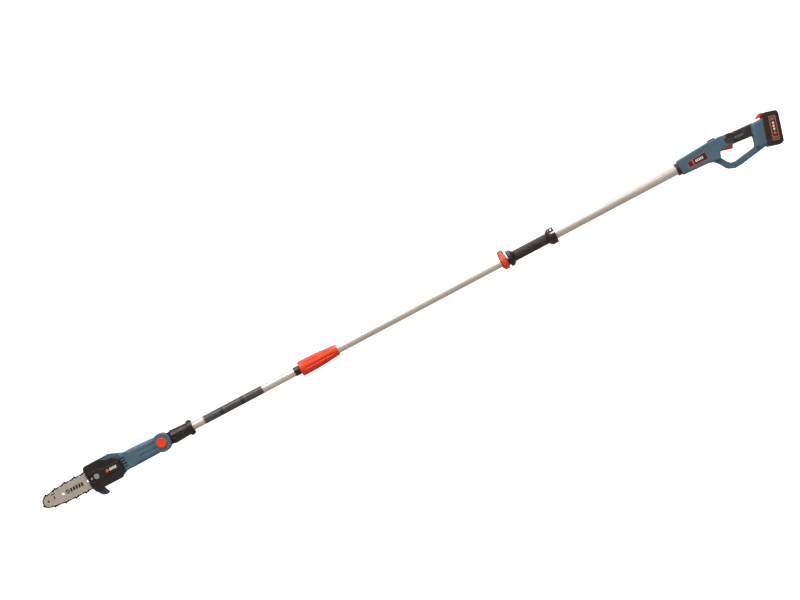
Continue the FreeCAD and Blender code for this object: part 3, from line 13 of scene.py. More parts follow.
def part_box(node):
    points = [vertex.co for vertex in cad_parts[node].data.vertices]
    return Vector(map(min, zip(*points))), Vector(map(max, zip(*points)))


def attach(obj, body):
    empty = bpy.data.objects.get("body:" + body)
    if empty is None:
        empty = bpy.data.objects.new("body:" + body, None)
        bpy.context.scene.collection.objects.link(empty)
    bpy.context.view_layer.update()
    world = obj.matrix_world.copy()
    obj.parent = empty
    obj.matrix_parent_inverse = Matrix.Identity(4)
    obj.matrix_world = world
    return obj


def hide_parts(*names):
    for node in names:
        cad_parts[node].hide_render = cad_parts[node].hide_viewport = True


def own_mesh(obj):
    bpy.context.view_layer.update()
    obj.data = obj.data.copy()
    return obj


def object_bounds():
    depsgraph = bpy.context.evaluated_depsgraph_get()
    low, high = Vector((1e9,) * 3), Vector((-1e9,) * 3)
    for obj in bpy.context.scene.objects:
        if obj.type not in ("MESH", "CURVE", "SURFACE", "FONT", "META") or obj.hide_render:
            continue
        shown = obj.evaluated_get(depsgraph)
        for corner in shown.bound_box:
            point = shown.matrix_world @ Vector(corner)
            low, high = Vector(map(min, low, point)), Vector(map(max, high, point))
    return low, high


bl_info = {
    "name": "Telescoping Pole Saw",
    "version": (1, 0, 0),
    "blender": (4, 5, 0),
    "location": "View3D > Sidebar > Pole Saw",
    "description": "Finishes, labels, springs, screws and stage of a telescoping pole saw",
    "category": "Object",
}

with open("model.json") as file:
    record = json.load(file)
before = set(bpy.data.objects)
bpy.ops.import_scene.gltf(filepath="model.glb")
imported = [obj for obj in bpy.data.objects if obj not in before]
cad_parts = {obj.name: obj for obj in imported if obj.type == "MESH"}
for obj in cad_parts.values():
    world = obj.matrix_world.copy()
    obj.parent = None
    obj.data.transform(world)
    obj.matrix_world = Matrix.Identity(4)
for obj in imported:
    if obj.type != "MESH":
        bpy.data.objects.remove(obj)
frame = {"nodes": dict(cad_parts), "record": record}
NODES = frame["nodes"]
CAD_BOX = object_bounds()
MM = 0.001

# the pole's axis runs along X, this far from the strap eye that is the origin
TUBE_LOW, TUBE_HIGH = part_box("rear_tube")
AXIS_Z = (TUBE_LOW[2] + TUBE_HIGH[2]) / 2
BUTTON_LOW, BUTTON_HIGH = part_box("tilt_button")
PIVOT_X = (BUTTON_LOW[0] + BUTTON_HIGH[0]) / 2


# ------------------------------------------------------------------ sizes and colours
def colour(name, what, value):
    """A colour property, given as sRGB."""
    return FloatVectorProperty(name=name, description=what, subtype="COLOR", size=3, min=0, max=1,
                               default=srgb(value))


def srgb(code):
    """The three sRGB values of a hex colour."""
    return tuple(int(code[i:i + 2], 16) / 255 for i in (1, 3, 5))


def linear(code):
    """A hex colour, or three sRGB values, as the linear RGBA that shaders take."""
    values = srgb(code) if isinstance(code, str) else tuple(code)
    bent = [v / 12.92 if v <= 0.04045 else ((v + 0.055) / 1.055) ** 2.4 for v in values]
    return (bent[0], bent[1], bent[2], 1.0)


class PoleSawColours(PropertyGroup):
    shell: colour("Shell", "Moulded shells of head and handle", "#4F6C7E")
    accent: colour("Accent", "Nut, lever, buttons and trigger", "#FA4300")
    dark: colour("Dark nylon", "Cover, socket, grips and battery", "#261C17")
    tube: colour("Tube", "Anodised tubes", "#DAD0C7")


class PoleSawSizes(PropertyGroup):
    wrap_start: FloatProperty(name="Wrap start", description="Tilt pivot to the wrap label",
                              default=0.160, unit="LENGTH")
    wrap_length: FloatProperty(name="Wrap length", description="Length of the wrap label",
                               default=0.223, unit="LENGTH")
    wrap_skin: FloatProperty(name="Wrap skin", description="Thickness of the wrap label",
                             default=0.0003, unit="LENGTH", min=0.0001)
    wire_segments: IntProperty(name="Wire sides", description="Sides of a spring's round wire",
                               default=10, min=6, max=24)
    camera_distance: FloatProperty(name="Camera distance", description="Camera to the pole",
                                   default=9.0, unit="LENGTH")
    camera_roll: FloatProperty(name="Camera roll", description="How far the pole climbs in view",
                               default=math.radians(27.9), subtype="ANGLE")
    camera_lens: FloatProperty(name="Camera lens", description="Focal length in millimetres",
                               default=120.2)
    lamp_strength: FloatProperty(name="Lamp strength", description="Share of the studio lamps",
                                 default=1.0, min=0.0)


def sizes():
    return bpy.context.scene.pole_saw_sizes


def colours():
    return bpy.context.scene.pole_saw_colours


# ------------------------------------------------------------------ node helpers
GRAIN_ROUGHNESS = 0.55      # weight of each finer octave of the noise


def add(tree, kind, inputs=(), **settings):
    """A new node with its settings; each input, by name or number, gets a value or a link."""
    node = tree.nodes.new(kind)
    for key, value in settings.items():
        setattr(node, key, value)
    for key, value in dict(inputs).items():
        if isinstance(value, bpy.types.NodeSocket):
            tree.links.new(value, node.inputs[key])
        else:
            node.inputs[key].default_value = value
    return node


def ramp(tree, source, low, high, start, end):
    """Maps a factor from start..end to the range low..high."""
    return add(tree, "ShaderNodeMapRange", {"Value": source, "From Min": start, "From Max": end,
                                            "To Min": low, "To Max": high}).outputs["Result"]


def coordinate(tree, axis, space="Object"):
    """One axis of the place on a piece, or of the direction in the sky."""
    place = add(tree, "ShaderNodeTexCoord")
    return add(tree, "ShaderNodeSeparateXYZ", {0: place.outputs[space]}).outputs[axis]


def grain(tree, size_mm, detail, stretch=(1, 1, 1)):
    """Noise whose features are about size_mm across, in the object's own coordinates."""
    place = add(tree, "ShaderNodeTexCoord")
    mapping = add(tree, "ShaderNodeMapping", {"Vector": place.outputs["Object"],
                                              "Scale": stretch})
    return add(tree, "ShaderNodeTexNoise", {
        "Vector": mapping.outputs["Vector"], "Scale": 1.0 / (size_mm * MM), "Detail": detail,
        "Roughness": GRAIN_ROUGHNESS}).outputs["Fac"]


def blend_colours(tree, factor, first, second):
    """The first colour where the factor is 0, the second where it is 1."""
    return add(tree, "ShaderNodeMix", {"Factor": factor, 6: first, 7: second},
               data_type="RGBA").outputs[2]


def relief(tree, shader, layers):
    """Bump layers on a shader: pairs of height output and depth in millimetres."""
    last = None
    for height, depth in layers:
        inputs = {"Strength": 1.0, "Distance": depth * MM, "Height": height}
        if last is not None:
            inputs["Normal"] = last
        last = add(tree, "ShaderNodeBump", inputs).outputs["Normal"]
    tree.links.new(last, shader.inputs["Normal"])


def dress(tree, shader, base, rough, layers):
    """Gives a shader its colour, its roughness and its relief."""
    tree.links.new(base, shader.inputs["Base Color"])
    tree.links.new(rough, shader.inputs["Roughness"])
    relief(tree, shader, layers)


def edge_mask(tree, radius_mm):
    """About 1 near a corner of the surface and 0 on flats, from a rounded normal."""
    bevel = add(tree, "ShaderNodeBevel", {"Radius": radius_mm * MM}, samples=4)
    geometry = add(tree, "ShaderNodeNewGeometry")
    dot = add(tree, "ShaderNodeVectorMath", {0: bevel.outputs["Normal"],
                                             1: geometry.outputs["Normal"]},
              operation="DOT_PRODUCT")
    return ramp(tree, dot.outputs["Value"], 1.0, 0.0, 0.90, 0.995)


def start_material(name, roughness=0.5, metallic=0.0, **sockets):
    material = bpy.data.materials.new(name)
    material.use_nodes = True
    tree = material.node_tree
    shader = tree.nodes["Principled BSDF"]
    shader.inputs["Roughness"].default_value = roughness
    shader.inputs["Metallic"].default_value = metallic
    for key, value in sockets.items():
        shader.inputs[key.replace("_", " ")].default_value = value
    return material, tree, shader


# ------------------------------------------------------------------ materials
def moulded_plastic(name, tint, lighter, darker, texture_mm=0.45, depth=0.02, rough=(0.42, 0.60),
                    seam=False, edge_wear_and_highlight="#A3B7C5", edge_wear_and_highlight_share=0.5):
    """Moulded shell: spark-eroded grain, faint cloudiness, edges rubbed pale and painted with a
    highlight, parting line.
    """
    material, tree, shader = start_material(name, IOR=1.46)
    cloud = grain(tree, 60, 3)
    base = blend_colours(tree, ramp(tree, cloud, 0.0, 1.0, 0.35, 0.65), linear(darker), linear(tint))
    fine = grain(tree, texture_mm, 2)
    base = blend_colours(tree, ramp(tree, fine, 0.0, 0.35, 0.45, 0.75), base, linear(lighter))
    # pale corners: partly rubbed-off colour, partly a painted edge highlight
    rub = add(tree, "ShaderNodeMath", {
        0: edge_mask(tree, 1.2), 1: ramp(tree, grain(tree, 7, 5), 0.0, edge_wear_and_highlight_share, 0.40, 0.62)},
        operation="MULTIPLY")
    base = blend_colours(tree, rub.outputs[0], base, linear(edge_wear_and_highlight))
    layers = [(fine, depth), (grain(tree, 9, 3), 0.03)]
    if seam:
        line = parting_line(tree)
        base = blend_colours(tree, line, base, linear("#10161A"))
        invert = ramp(tree, line, 1.0, 0.0, 0.0, 1.0)
        layers.append((invert, 0.35))
    smear = ramp(tree, grain(tree, 24, 6), rough[0], rough[1], 0.35, 0.65)
    dress(tree, shader, base, smear, layers)
    return material


def parting_line(tree):
    """1 within a hair of the plane where the two shells meet."""
    away = add(tree, "ShaderNodeMath", {0: coordinate(tree, "Y")}, operation="ABSOLUTE")
    return ramp(tree, away.outputs[0], 1.0, 0.0, 0.12 * MM, 0.34 * MM)


def shell_plastic():
    """Blue-grey shells: matte, lightly eroded, edges rubbed pale and painted with a highlight, dark
    hairline at the join.
    """
    return moulded_plastic("blue_grey_shell_plastic", tuple(colours().shell), "#67869A", "#456070",
                           seam=True)


def glass_filled_nylon():
    """Warm black nylon: low sheen, fibre mottling and rubbed edges painted with a warm-grey highlight.
    """
    return moulded_plastic("black_glass_filled_nylon", tuple(colours().dark), "#3A2E28", "#1B1310",
                           texture_mm=0.6, depth=0.025, rough=(0.30, 0.46), edge_wear_and_highlight="#8A766B", edge_wear_and_highlight_share=0.6)


def accent_plastic():
    """Bright orange plastic: smoother and glossier than the shells, faint flow marks."""
    # the paler orange on its edges is partly rubbing, partly a painted highlight
    return moulded_plastic("bright_orange_plastic", tuple(colours().accent), "#FF5E14", "#EE3600",
                           texture_mm=0.8, depth=0.008, rough=(0.36, 0.50), edge_wear_and_highlight="#FF8440", edge_wear_and_highlight_share=0.25)


def soft_rubber():
    """Overmoulded grip rubber: dusty warm black, leather-like pebbling, no sharp gloss."""
    material, tree, shader = start_material("soft_grip_rubber", IOR=1.5)
    place = add(tree, "ShaderNodeTexCoord")
    pebble = add(tree, "ShaderNodeTexVoronoi", {"Vector": place.outputs["Object"],
                                                "Scale": 1.0 / (0.9 * MM)}, feature="SMOOTH_F1")
    dust = grain(tree, 16, 5)
    base = blend_colours(tree, ramp(tree, dust, 0.0, 1.0, 0.4, 0.7), linear("#241A16"),
                         linear("#43362F"))
    dress(tree, shader, base, ramp(tree, dust, 0.58, 0.78, 0.35, 0.7),
          [(pebble.outputs["Distance"], 0.10), (dust, 0.03)])
    return material


def drawn_aluminium():
    """Drawn and anodised tube: warm silver with faint lengthwise lines and handling scuffs."""
    material, tree, shader = start_material("satin_anodised_tube", metallic=0.3, IOR=1.45)
    lines = grain(tree, 0.5, 3, stretch=(0.012, 1, 1))
    streak = grain(tree, 5, 4, stretch=(0.05, 1, 1))
    base = blend_colours(tree, ramp(tree, streak, 0.0, 1.0, 0.35, 0.65), linear("#C9BFB6"),
                         linear(tuple(colours().tube)))
    scuff = ramp(tree, grain(tree, 30, 8, stretch=(0.4, 1, 1)), 0.0, 0.30, 0.60, 0.74)
    base = blend_colours(tree, scuff, base, linear("#B5ACA2"))
    dress(tree, shader, base, ramp(tree, lines, 0.26, 0.42, 0.3, 0.7),
          [(lines, 0.006), (grain(tree, 40, 2), 0.02)])
    return material


def ground_steel(name, dark, light, rough, lines_mm=0.35, along=(0.02, 1, 1), stains=0.35):
    """Ground steel: parallel grinding lines, oil stains and a little tarnish."""
    material, tree, shader = start_material(name, metallic=1.0)
    lines = grain(tree, lines_mm, 4, stretch=along)
    patches = grain(tree, 22, 7)
    base = blend_colours(tree, ramp(tree, lines, 0.0, 1.0, 0.35, 0.65), linear(dark), linear(light))
    base = blend_colours(tree, ramp(tree, patches, 0.0, stains, 0.5, 0.72), base, linear("#4E443A"))
    dress(tree, shader, base, ramp(tree, lines, rough[0], rough[1], 0.3, 0.7),
          [(lines, 0.008), (patches, 0.02)])
    return material


def bar_steel():
    """Guide bar: bead-blasted grey plate with rubbed rails and light scratches along it."""
    return ground_steel("guide_bar_steel", "#C4B8A8", "#E6DBCC", (0.46, 0.60), stains=0.10)


def chain_steel():
    """Saw chain: oiled dark steel, bright where it has been ground."""
    return ground_steel("oiled_chain_steel", "#231D1A", "#3E3631", (0.30, 0.52), lines_mm=0.8,
                        along=(1, 1, 1), stains=0.5)


def turned_steel():
    """Shafts, gears and can: turned steel under an oil film."""
    return ground_steel("turned_steel", "#7C7B79", "#A9A8A5", (0.22, 0.40), stains=0.2)


def zinc_plate():
    """Zinc-plated screws, nut and springs: cool, bright, faint blue and straw tints."""
    material, tree, shader = start_material("zinc_plated_steel", metallic=1.0)
    tint = grain(tree, 3, 4)
    base = blend_colours(tree, ramp(tree, tint, 0.0, 1.0, 0.4, 0.62), linear("#C3C8CC"),
                         linear("#D8D3C4"))
    dress(tree, shader, base, ramp(tree, tint, 0.20, 0.36, 0.35, 0.65),
          [(grain(tree, 0.4, 3), 0.006)])
    return material


def cable_jacket():
    """PVC cable jacket: black, slightly waxy."""
    return moulded_plastic("black_cable_jacket", "#171615", "#262423", "#100F0E", texture_mm=1.2,
                           depth=0.02, rough=(0.38, 0.5), edge_wear_and_highlight="#3A3836", edge_wear_and_highlight_share=0.2)


def board_laminate():
    """Circuit board and parts: green solder mask with the weave of the glass showing."""
    return moulded_plastic("green_circuit_board", "#1E5A34", "#2C7A48", "#17452A", texture_mm=1.0,
                           depth=0.02, rough=(0.25, 0.4), edge_wear_and_highlight="#B8863B", edge_wear_and_highlight_share=0.5)


def cell_sleeve():
    """Shrink-wrapped battery cells: glossy teal film with small wrinkles."""
    return moulded_plastic("teal_cell_sleeve", "#1F6B7C", "#2F8597", "#174F5C", texture_mm=3.0,
                           depth=0.05, rough=(0.18, 0.32), edge_wear_and_highlight="#9FC4CC", edge_wear_and_highlight_share=0.3)


def natural_nylon():
    """Unfilled nylon: cream, waxy."""
    return moulded_plastic("natural_nylon", "#CFC9B8", "#DDD8C9", "#BDB6A3", texture_mm=1.5,
                           depth=0.015, rough=(0.34, 0.48), edge_wear_and_highlight="#EEEADF", edge_wear_and_highlight_share=0.3)


def label_film(name, face, rubbed, rough=(0.22, 0.34)):
    """Printed film: even colour under a clear satin laminate with fine orange peel."""
    return moulded_plastic(name, face, rubbed, face, texture_mm=1.0, depth=0.006, rough=rough,
                           edge_wear_and_highlight=rubbed, edge_wear_and_highlight_share=0.25)


def wrap_film():
    """Dark wrap on the front tube: charcoal film, paler rubbed patches, thin orange ends."""
    material, tree, shader = start_material("charcoal_wrap_film")
    start = PIVOT_X + sizes().wrap_start
    length = sizes().wrap_length
    share = ramp(tree, coordinate(tree, "X"), 0.0, 1.0, start, start + length)
    rub = grain(tree, 18, 6, stretch=(0.5, 1, 1))
    base = blend_colours(tree, ramp(tree, rub, 0.0, 1.0, 0.38, 0.66), linear("#3F3B39"),
                         linear("#55504D"))
    for middle in (0.30, 0.655):
        base = blend_colours(tree, band(tree, share, middle, 0.030), base, linear("#262322"))
    for middle in (0.010, 0.990):
        base = blend_colours(tree, band(tree, share, middle, 0.005), base, linear("#B4553A"))
    dress(tree, shader, base, ramp(tree, rub, 0.34, 0.52, 0.35, 0.65),
          [(grain(tree, 0.8, 3), 0.008), (rub, 0.02)])
    return material


def band(tree, share, middle, half):
    """1 inside a band of the wrap's length, 0 outside."""
    offset = add(tree, "ShaderNodeMath", {0: share, 1: middle}, operation="SUBTRACT")
    size = add(tree, "ShaderNodeMath", {0: offset.outputs[0]}, operation="ABSOLUTE")
    return ramp(tree, size.outputs[0], 1.0, 0.0, half * 0.92, half)


FINISHES = {
    "blue_shell": shell_plastic, "black_plastic": glass_filled_nylon,
    "orange_plastic": accent_plastic, "black_rubber": soft_rubber,
    "tube_aluminium": drawn_aluminium, "bar_steel": bar_steel, "chain_steel": chain_steel,
    "plated_steel": zinc_plate, "machined_steel": turned_steel,
    "copper_and_board": board_laminate, "lead_jacket": cable_jacket, "cell_wrap": cell_sleeve,
    "natural_nylon": natural_nylon,
}


# ------------------------------------------------------------------ mesh helpers
SMOOTH_ANGLE = math.radians(35)
CORNER_STEPS = 6            # straight parts of a rounded corner
WRAP_SIDES = 96
WRAP_RIM = 0.2 * MM         # softened rim of the wrap film


def finish_piece(name, mesh, material, body, replaces=()):
    """Links a finished mesh, gives it its material, and hangs it on its body."""
    mesh.materials.clear()
    mesh.materials.append(material)
    for face in mesh.polygons:
        face.use_smooth = True
    piece = bpy.data.objects.new(name, mesh)
    bpy.context.scene.collection.objects.link(piece)
    with bpy.context.temp_override(object=piece, active_object=piece, selected_objects=[piece],
                                   selected_editable_objects=[piece]):
        bpy.ops.object.shade_smooth_by_angle(angle=SMOOTH_ANGLE)
    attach(piece, body)
    if replaces:
        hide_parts(*replaces)
    return piece


def mesh_of(builder, name):
    """A mesh from a bmesh, with normals made to point outwards."""
    bmesh.ops.remove_doubles(builder, verts=builder.verts, dist=1e-7)
    bmesh.ops.recalc_face_normals(builder, faces=builder.faces)
    mesh = bpy.data.meshes.new(name)
    builder.to_mesh(mesh)
    builder.free()
    return mesh


def inward(corners, amount):
    """A convex outline, given anticlockwise, with every side moved in by an amount."""
    moved, count = [], len(corners)
    for i in range(count):
        before, here, after = corners[i - 1], corners[i], corners[(i + 1) % count]
        a = (Vector(here) - Vector(before)).normalized()
        b = (Vector(after) - Vector(here)).normalized()
        side_a, side_b = Vector((-a.y, a.x)), Vector((-b.y, b.x))
        moved.append(tuple(Vector(here) + (side_a + side_b) * amount / (1 + side_a.dot(side_b))))
    return moved


def rounded(corners, radius):
    """The outline's points with each corner turned into an arc."""
    points, count = [], len(corners)
    for i in range(count):
        here = Vector(corners[i])
        a = (here - Vector(corners[i - 1])).normalized()
        b = (Vector(corners[(i + 1) % count]) - here).normalized()
        turn = a.angle(b)
        centre = here + (Vector((-a.y, a.x)) + Vector((-b.y, b.x))) * radius / (1 + math.cos(turn))
        first = math.atan2(-a.x, a.y)
        for k in range(CORNER_STEPS + 1):
            angle = first + turn * k / CORNER_STEPS
            points.append((centre.x + radius * math.cos(angle), centre.y + radius * math.sin(angle)))
    return points


def rectangle(width, height, middle=(0.0, 0.0), slant=0.0):
    """Corners of an upright rectangle, anticlockwise, its top pushed along by the slant."""
    x, y, w, h = middle[0], middle[1], width / 2, height / 2
    return [(x - w - slant, y - h), (x + w - slant, y - h), (x + w + slant, y + h),
            (x - w + slant, y + h)]


def mirrored(corners):
    """The same outline seen from the other side, still anticlockwise."""
    return [(-x, y) for x, y in corners][::-1]


def plate(builder, corners, radius, low, high, matrix, soften=0.1 * MM):
    """Closed plate on a rounded outline, drawn in XY from one height to another, then placed."""
    loops = []
    for rise, inset in ((low, 0.0), (high - soften, 0.0), (high, soften)):
        outline = rounded(inward(corners, inset), max(radius - inset, 1e-5))
        loops.append([builder.verts.new(matrix @ Vector((x, y, rise))) for x, y in outline])
    count = len(loops[0])
    for lower, upper in zip(loops, loops[1:]):
        for i in range(count):
            j = (i + 1) % count
            builder.faces.new((lower[i], lower[j], upper[j], upper[i]))
    builder.faces.new(loops[-1])
    builder.faces.new(loops[0][::-1])


def border(builder, corners, radius, width, low, high, matrix):
    """Closed frame of even width that follows a rounded outline."""
    outer = rounded(corners, radius)
    inner = rounded(inward(corners, width), max(radius - width, 2e-4))
    rings = [[builder.verts.new(matrix @ Vector((x, y, rise))) for x, y in outline]
             for outline, rise in ((outer, low), (outer, high), (inner, high), (inner, low))]
    join_rings(builder, rings)


def tube_shell(builder, start, end, inner, outer, middle):
    """Closed sleeve along X about a middle point, with softened outer rims."""
    profile = ((start, inner), (start, outer - WRAP_RIM), (start + WRAP_RIM, outer),
               (end - WRAP_RIM, outer), (end, outer - WRAP_RIM), (end, inner))
    rings = []
    for x, radius in profile:
        angles = [2 * math.pi * i / WRAP_SIDES for i in range(WRAP_SIDES)]
        rings.append([builder.verts.new(middle + Vector((x, radius * math.cos(a),
                                                         radius * math.sin(a)))) for a in angles])
    join_rings(builder, rings)


def join_rings(builder, rings):
    """Faces between each ring of points and the next, and from the last back to the first."""
    count = len(rings[0])
    for k, ring in enumerate(rings):
        after = rings[(k + 1) % len(rings)]
        for i in range(count):
            j = (i + 1) % count
            builder.faces.new((ring[i], ring[j], after[j], after[i]))


def at(x, y, z):
    """A point given in millimetres from the tilt pivot, on the pole's own axis."""
    return Vector((PIVOT_X + x * MM, y * MM, AXIS_Z + z * MM))


def facing(middle, side, lean=0.0):
    """Places an XY drawing on the face that looks along Y: side -1 or 1, leaning about Y."""
    flat = Matrix(((-side, 0, 0), (0, 0, side), (0, 1, 0))).to_4x4()
    return Matrix.Translation(middle) @ Matrix.Rotation(lean, 4, "Y") @ flat


def islands(node):
    """The separate solids of a CAD node, as lists of points, from a merged copy of its mesh."""
    builder = bmesh.new()
    builder.from_mesh(bpy.data.objects[node].data)
    bmesh.ops.remove_doubles(builder, verts=builder.verts, dist=1e-6)
    seen, found = set(), []
    for first in builder.verts:
        if first.index in seen:
            continue
        pile, group = [first], []
        seen.add(first.index)
        while pile:
            vert = pile.pop()
            group.append(vert.co.copy())
            for edge in vert.link_edges:
                other = edge.other_vert(vert)
                if other.index not in seen:
                    seen.add(other.index)
                    pile.append(other)
        found.append(group)
    builder.free()
    return found


def corners_of(points):
    low = Vector([min(p[i] for p in points) for i in range(3)])
    high = Vector([max(p[i] for p in points) for i in range(3)])
    return low, high


# ------------------------------------------------------------------ geometry node trees
def new_tree(name, inputs):
    """A geometry node tree with a geometry input, named inputs and a geometry output."""
    tree = bpy.data.node_groups.new(name, "GeometryNodeTree")
    tree.interface.new_socket("Points", in_out="INPUT", socket_type="NodeSocketGeometry")
    for label, kind, value in inputs:
        socket = tree.interface.new_socket(label, in_out="INPUT", socket_type="NodeSocket" + kind)
        if value is not None:
            socket.default_value = value
    tree.interface.new_socket("Geometry", in_out="OUTPUT", socket_type="NodeSocketGeometry")
    return tree, tree.nodes.new("NodeGroupInput"), tree.nodes.new("NodeGroupOutput")


def close_tree(tree, given, ending, shape, turned=True):
    """Stands a shape on every point, and ends the tree in Realize Instances and Set Material."""
    spread = {"Points": given.outputs["Points"], "Instance": shape}
    if turned:
        turn = add(tree, "GeometryNodeInputNamedAttribute", {"Name": "turn"},
                   data_type="FLOAT_VECTOR")
        spread["Rotation"] = add(tree, "FunctionNodeEulerToRotation",
                                 {"Euler": turn.outputs["Attribute"]}).outputs[0]
    stood = add(tree, "GeometryNodeInstanceOnPoints", spread)
    real = add(tree, "GeometryNodeRealizeInstances", {"Geometry": stood.outputs[0]})
    paint = add(tree, "GeometryNodeSetMaterial", {"Geometry": real.outputs[0],
                                                  "Material": given.outputs["Finish"]})
    tree.links.new(paint.outputs[0], ending.inputs["Geometry"])


def joined(tree, *shapes):
    """Several shapes as one."""
    whole = add(tree, "GeometryNodeJoinGeometry")
    for shape in shapes:
        tree.links.new(shape, whole.inputs[0])
    return whole.outputs[0]


def grown_mesh(name, tree, points, values, turns=None):
    """Runs a tree on a cloud of points and gives back the plain mesh that it makes."""
    cloud = bpy.data.meshes.new(name + "_points")
    cloud.from_pydata([tuple(p) for p in points], [], [])
    if turns is not None:
        layer = cloud.attributes.new("turn", "FLOAT_VECTOR", "POINT")
        for i, turn in enumerate(turns):
            layer.data[i].vector = turn
    holder = bpy.data.objects.new(name + "_holder", cloud)
    bpy.context.scene.collection.objects.link(holder)
    modifier = holder.modifiers.new("Grow", "NODES")
    modifier.node_group = tree
    for item in tree.interface.items_tree:
        if item.item_type == "SOCKET" and item.in_out == "INPUT" and item.name in values:
            modifier[item.identifier] = values[item.name]
    bpy.context.view_layer.update()
    ready = holder.evaluated_get(bpy.context.evaluated_depsgraph_get())
    mesh = bpy.data.meshes.new_from_object(ready)
    mesh.name = name
    holder.modifiers.remove(modifier)
    bpy.data.objects.remove(holder)
    return mesh


def screw_tree():
    """Pan head screw with a six-lobed drive and a coarse thread, stood on every point."""
    tree, given, ending = new_tree("Pan head screw", (
        ("Head radius", "Float", 3.4 * MM), ("Head height", "Float", 2.3 * MM),
        ("Shank radius", "Float", 1.3 * MM), ("Length", "Float", 12 * MM),
        ("Thread pitch", "Float", 1.4 * MM), ("Finish", "Material", None)))
    head = add(tree, "GeometryNodeMeshCylinder", {
        "Vertices": 40, "Side Segments": 3, "Radius": given.outputs["Head radius"],
        "Depth": given.outputs["Head height"]})
    drive = add(tree, "GeometryNodeMeshBoolean", {
        "Mesh 1": pan_crown(tree, given, head.outputs["Mesh"]), "Mesh 2": drive_recess(tree)},
        operation="DIFFERENCE", solver="EXACT")
    whole = joined(tree, drive.outputs["Mesh"], threaded_shank(tree, given))
    close_tree(tree, given, ending, whole)
    return tree


def drive_recess(tree):
    """Six-lobed prism that is cut out of the head."""
    star = add(tree, "GeometryNodeCurveStar", {"Points": 6, "Inner Radius": 1.15 * MM,
                                               "Outer Radius": 1.75 * MM})
    lobes = add(tree, "GeometryNodeFilletCurve", {"Curve": star.outputs["Curve"],
                                                  "Radius": 0.3 * MM, "Count": 3}, mode="POLY")
    face = add(tree, "GeometryNodeFillCurve", {"Curve": lobes.outputs[0]})
    prism = add(tree, "GeometryNodeExtrudeMesh", {"Mesh": face.outputs[0],
                                                  "Offset Scale": 3.0 * MM, "Individual": False})
    bottom = add(tree, "GeometryNodeFlipFaces", {"Mesh": face.outputs[0]})
    weld = add(tree, "GeometryNodeMergeByDistance", {
        "Geometry": joined(tree, prism.outputs["Mesh"], bottom.outputs[0]), "Distance": 1e-6})
    sunk = add(tree, "GeometryNodeTransform", {"Geometry": weld.outputs[0],
                                               "Translation": (0, 0, -0.2 * MM)})
    return sunk.outputs[0]


def pan_crown(tree, given, head):
    """Draws in the head's top rings, so the pan is domed; the head stays centred on local zero."""
    place = add(tree, "GeometryNodeInputPosition")
    split = add(tree, "ShaderNodeSeparateXYZ", {"Vector": place.outputs[0]})
    share = add(tree, "ShaderNodeMath", {0: split.outputs["Z"],
                                         1: given.outputs["Head height"]}, operation="DIVIDE")
    shrink = add(tree, "ShaderNodeMapRange", {
        "Value": share.outputs[0], "From Min": 0.0, "From Max": 0.5, "To Min": 1.0,
        "To Max": 0.72}, interpolation_type="SMOOTHSTEP").outputs["Result"]
    across = add(tree, "ShaderNodeCombineXYZ", {"X": shrink, "Y": shrink, "Z": 1.0})
    scaled = add(tree, "ShaderNodeVectorMath", {0: place.outputs[0], 1: across.outputs[0]},
                 operation="MULTIPLY")
    moved = add(tree, "GeometryNodeSetPosition", {"Geometry": head,
                                                  "Position": scaled.outputs[0]})
    return moved.outputs[0]


def threaded_shank(tree, given):
    """Core rod with a spiral ridge, running down from the underside of the head."""
    radius, length = given.outputs["Shank radius"], given.outputs["Length"]
    core = add(tree, "GeometryNodeMeshCylinder", {"Vertices": 20, "Radius": radius,
                                                  "Depth": length})
    count = add(tree, "ShaderNodeMath", {0: length, 1: given.outputs["Thread pitch"]},
                operation="DIVIDE")
    ridge = add(tree, "GeometryNodeCurveSpiral", {
        "Resolution": 14, "Rotations": count.outputs[0], "Start Radius": radius,
        "End Radius": radius, "Height": length})
    crest = add(tree, "GeometryNodeCurvePrimitiveCircle", {"Resolution": 5, "Radius": 0.3 * MM})
    skin = add(tree, "GeometryNodeCurveToMesh", {
        "Curve": ridge.outputs[0], "Profile Curve": crest.outputs["Curve"], "Fill Caps": True})
    return joined(tree, lowered(tree, length, core.outputs["Mesh"], 0.5),
                  lowered(tree, length, skin.outputs[0], 1.0))


def lowered(tree, length, shape, share):
    """Moves a shape down by a share of a length."""
    drop = add(tree, "ShaderNodeMath", {0: length, 1: -share}, operation="MULTIPLY")
    offset = add(tree, "ShaderNodeCombineXYZ", {"Z": drop.outputs[0]})
    return add(tree, "GeometryNodeTransform", {"Geometry": shape,
                                               "Translation": offset.outputs[0]}).outputs[0]


def spring_tree():
    """Round-wire compression spring standing on every point, wound evenly."""
    tree, given, ending = new_tree("Compression spring", (
        ("Coil radius", "Float", 6 * MM), ("Wire radius", "Float", 0.6 * MM),
        ("Height", "Float", 20 * MM), ("Turns", "Float", 7.0), ("Wire sides", "Int", 10),
        ("Finish", "Material", None)))
    radius = given.outputs["Coil radius"]
    coil = add(tree, "GeometryNodeCurveSpiral", {
        "Resolution": 36, "Rotations": given.outputs["Turns"], "Start Radius": radius,
        "End Radius": radius, "Height": given.outputs["Height"]})
    round_wire = add(tree, "GeometryNodeCurvePrimitiveCircle", {
        "Resolution": given.outputs["Wire sides"], "Radius": given.outputs["Wire radius"]})
    skin = add(tree, "GeometryNodeCurveToMesh", {
        "Curve": coil.outputs[0], "Profile Curve": round_wire.outputs["Curve"],
        "Fill Caps": True})
    close_tree(tree, given, ending, skin.outputs[0])
    return tree


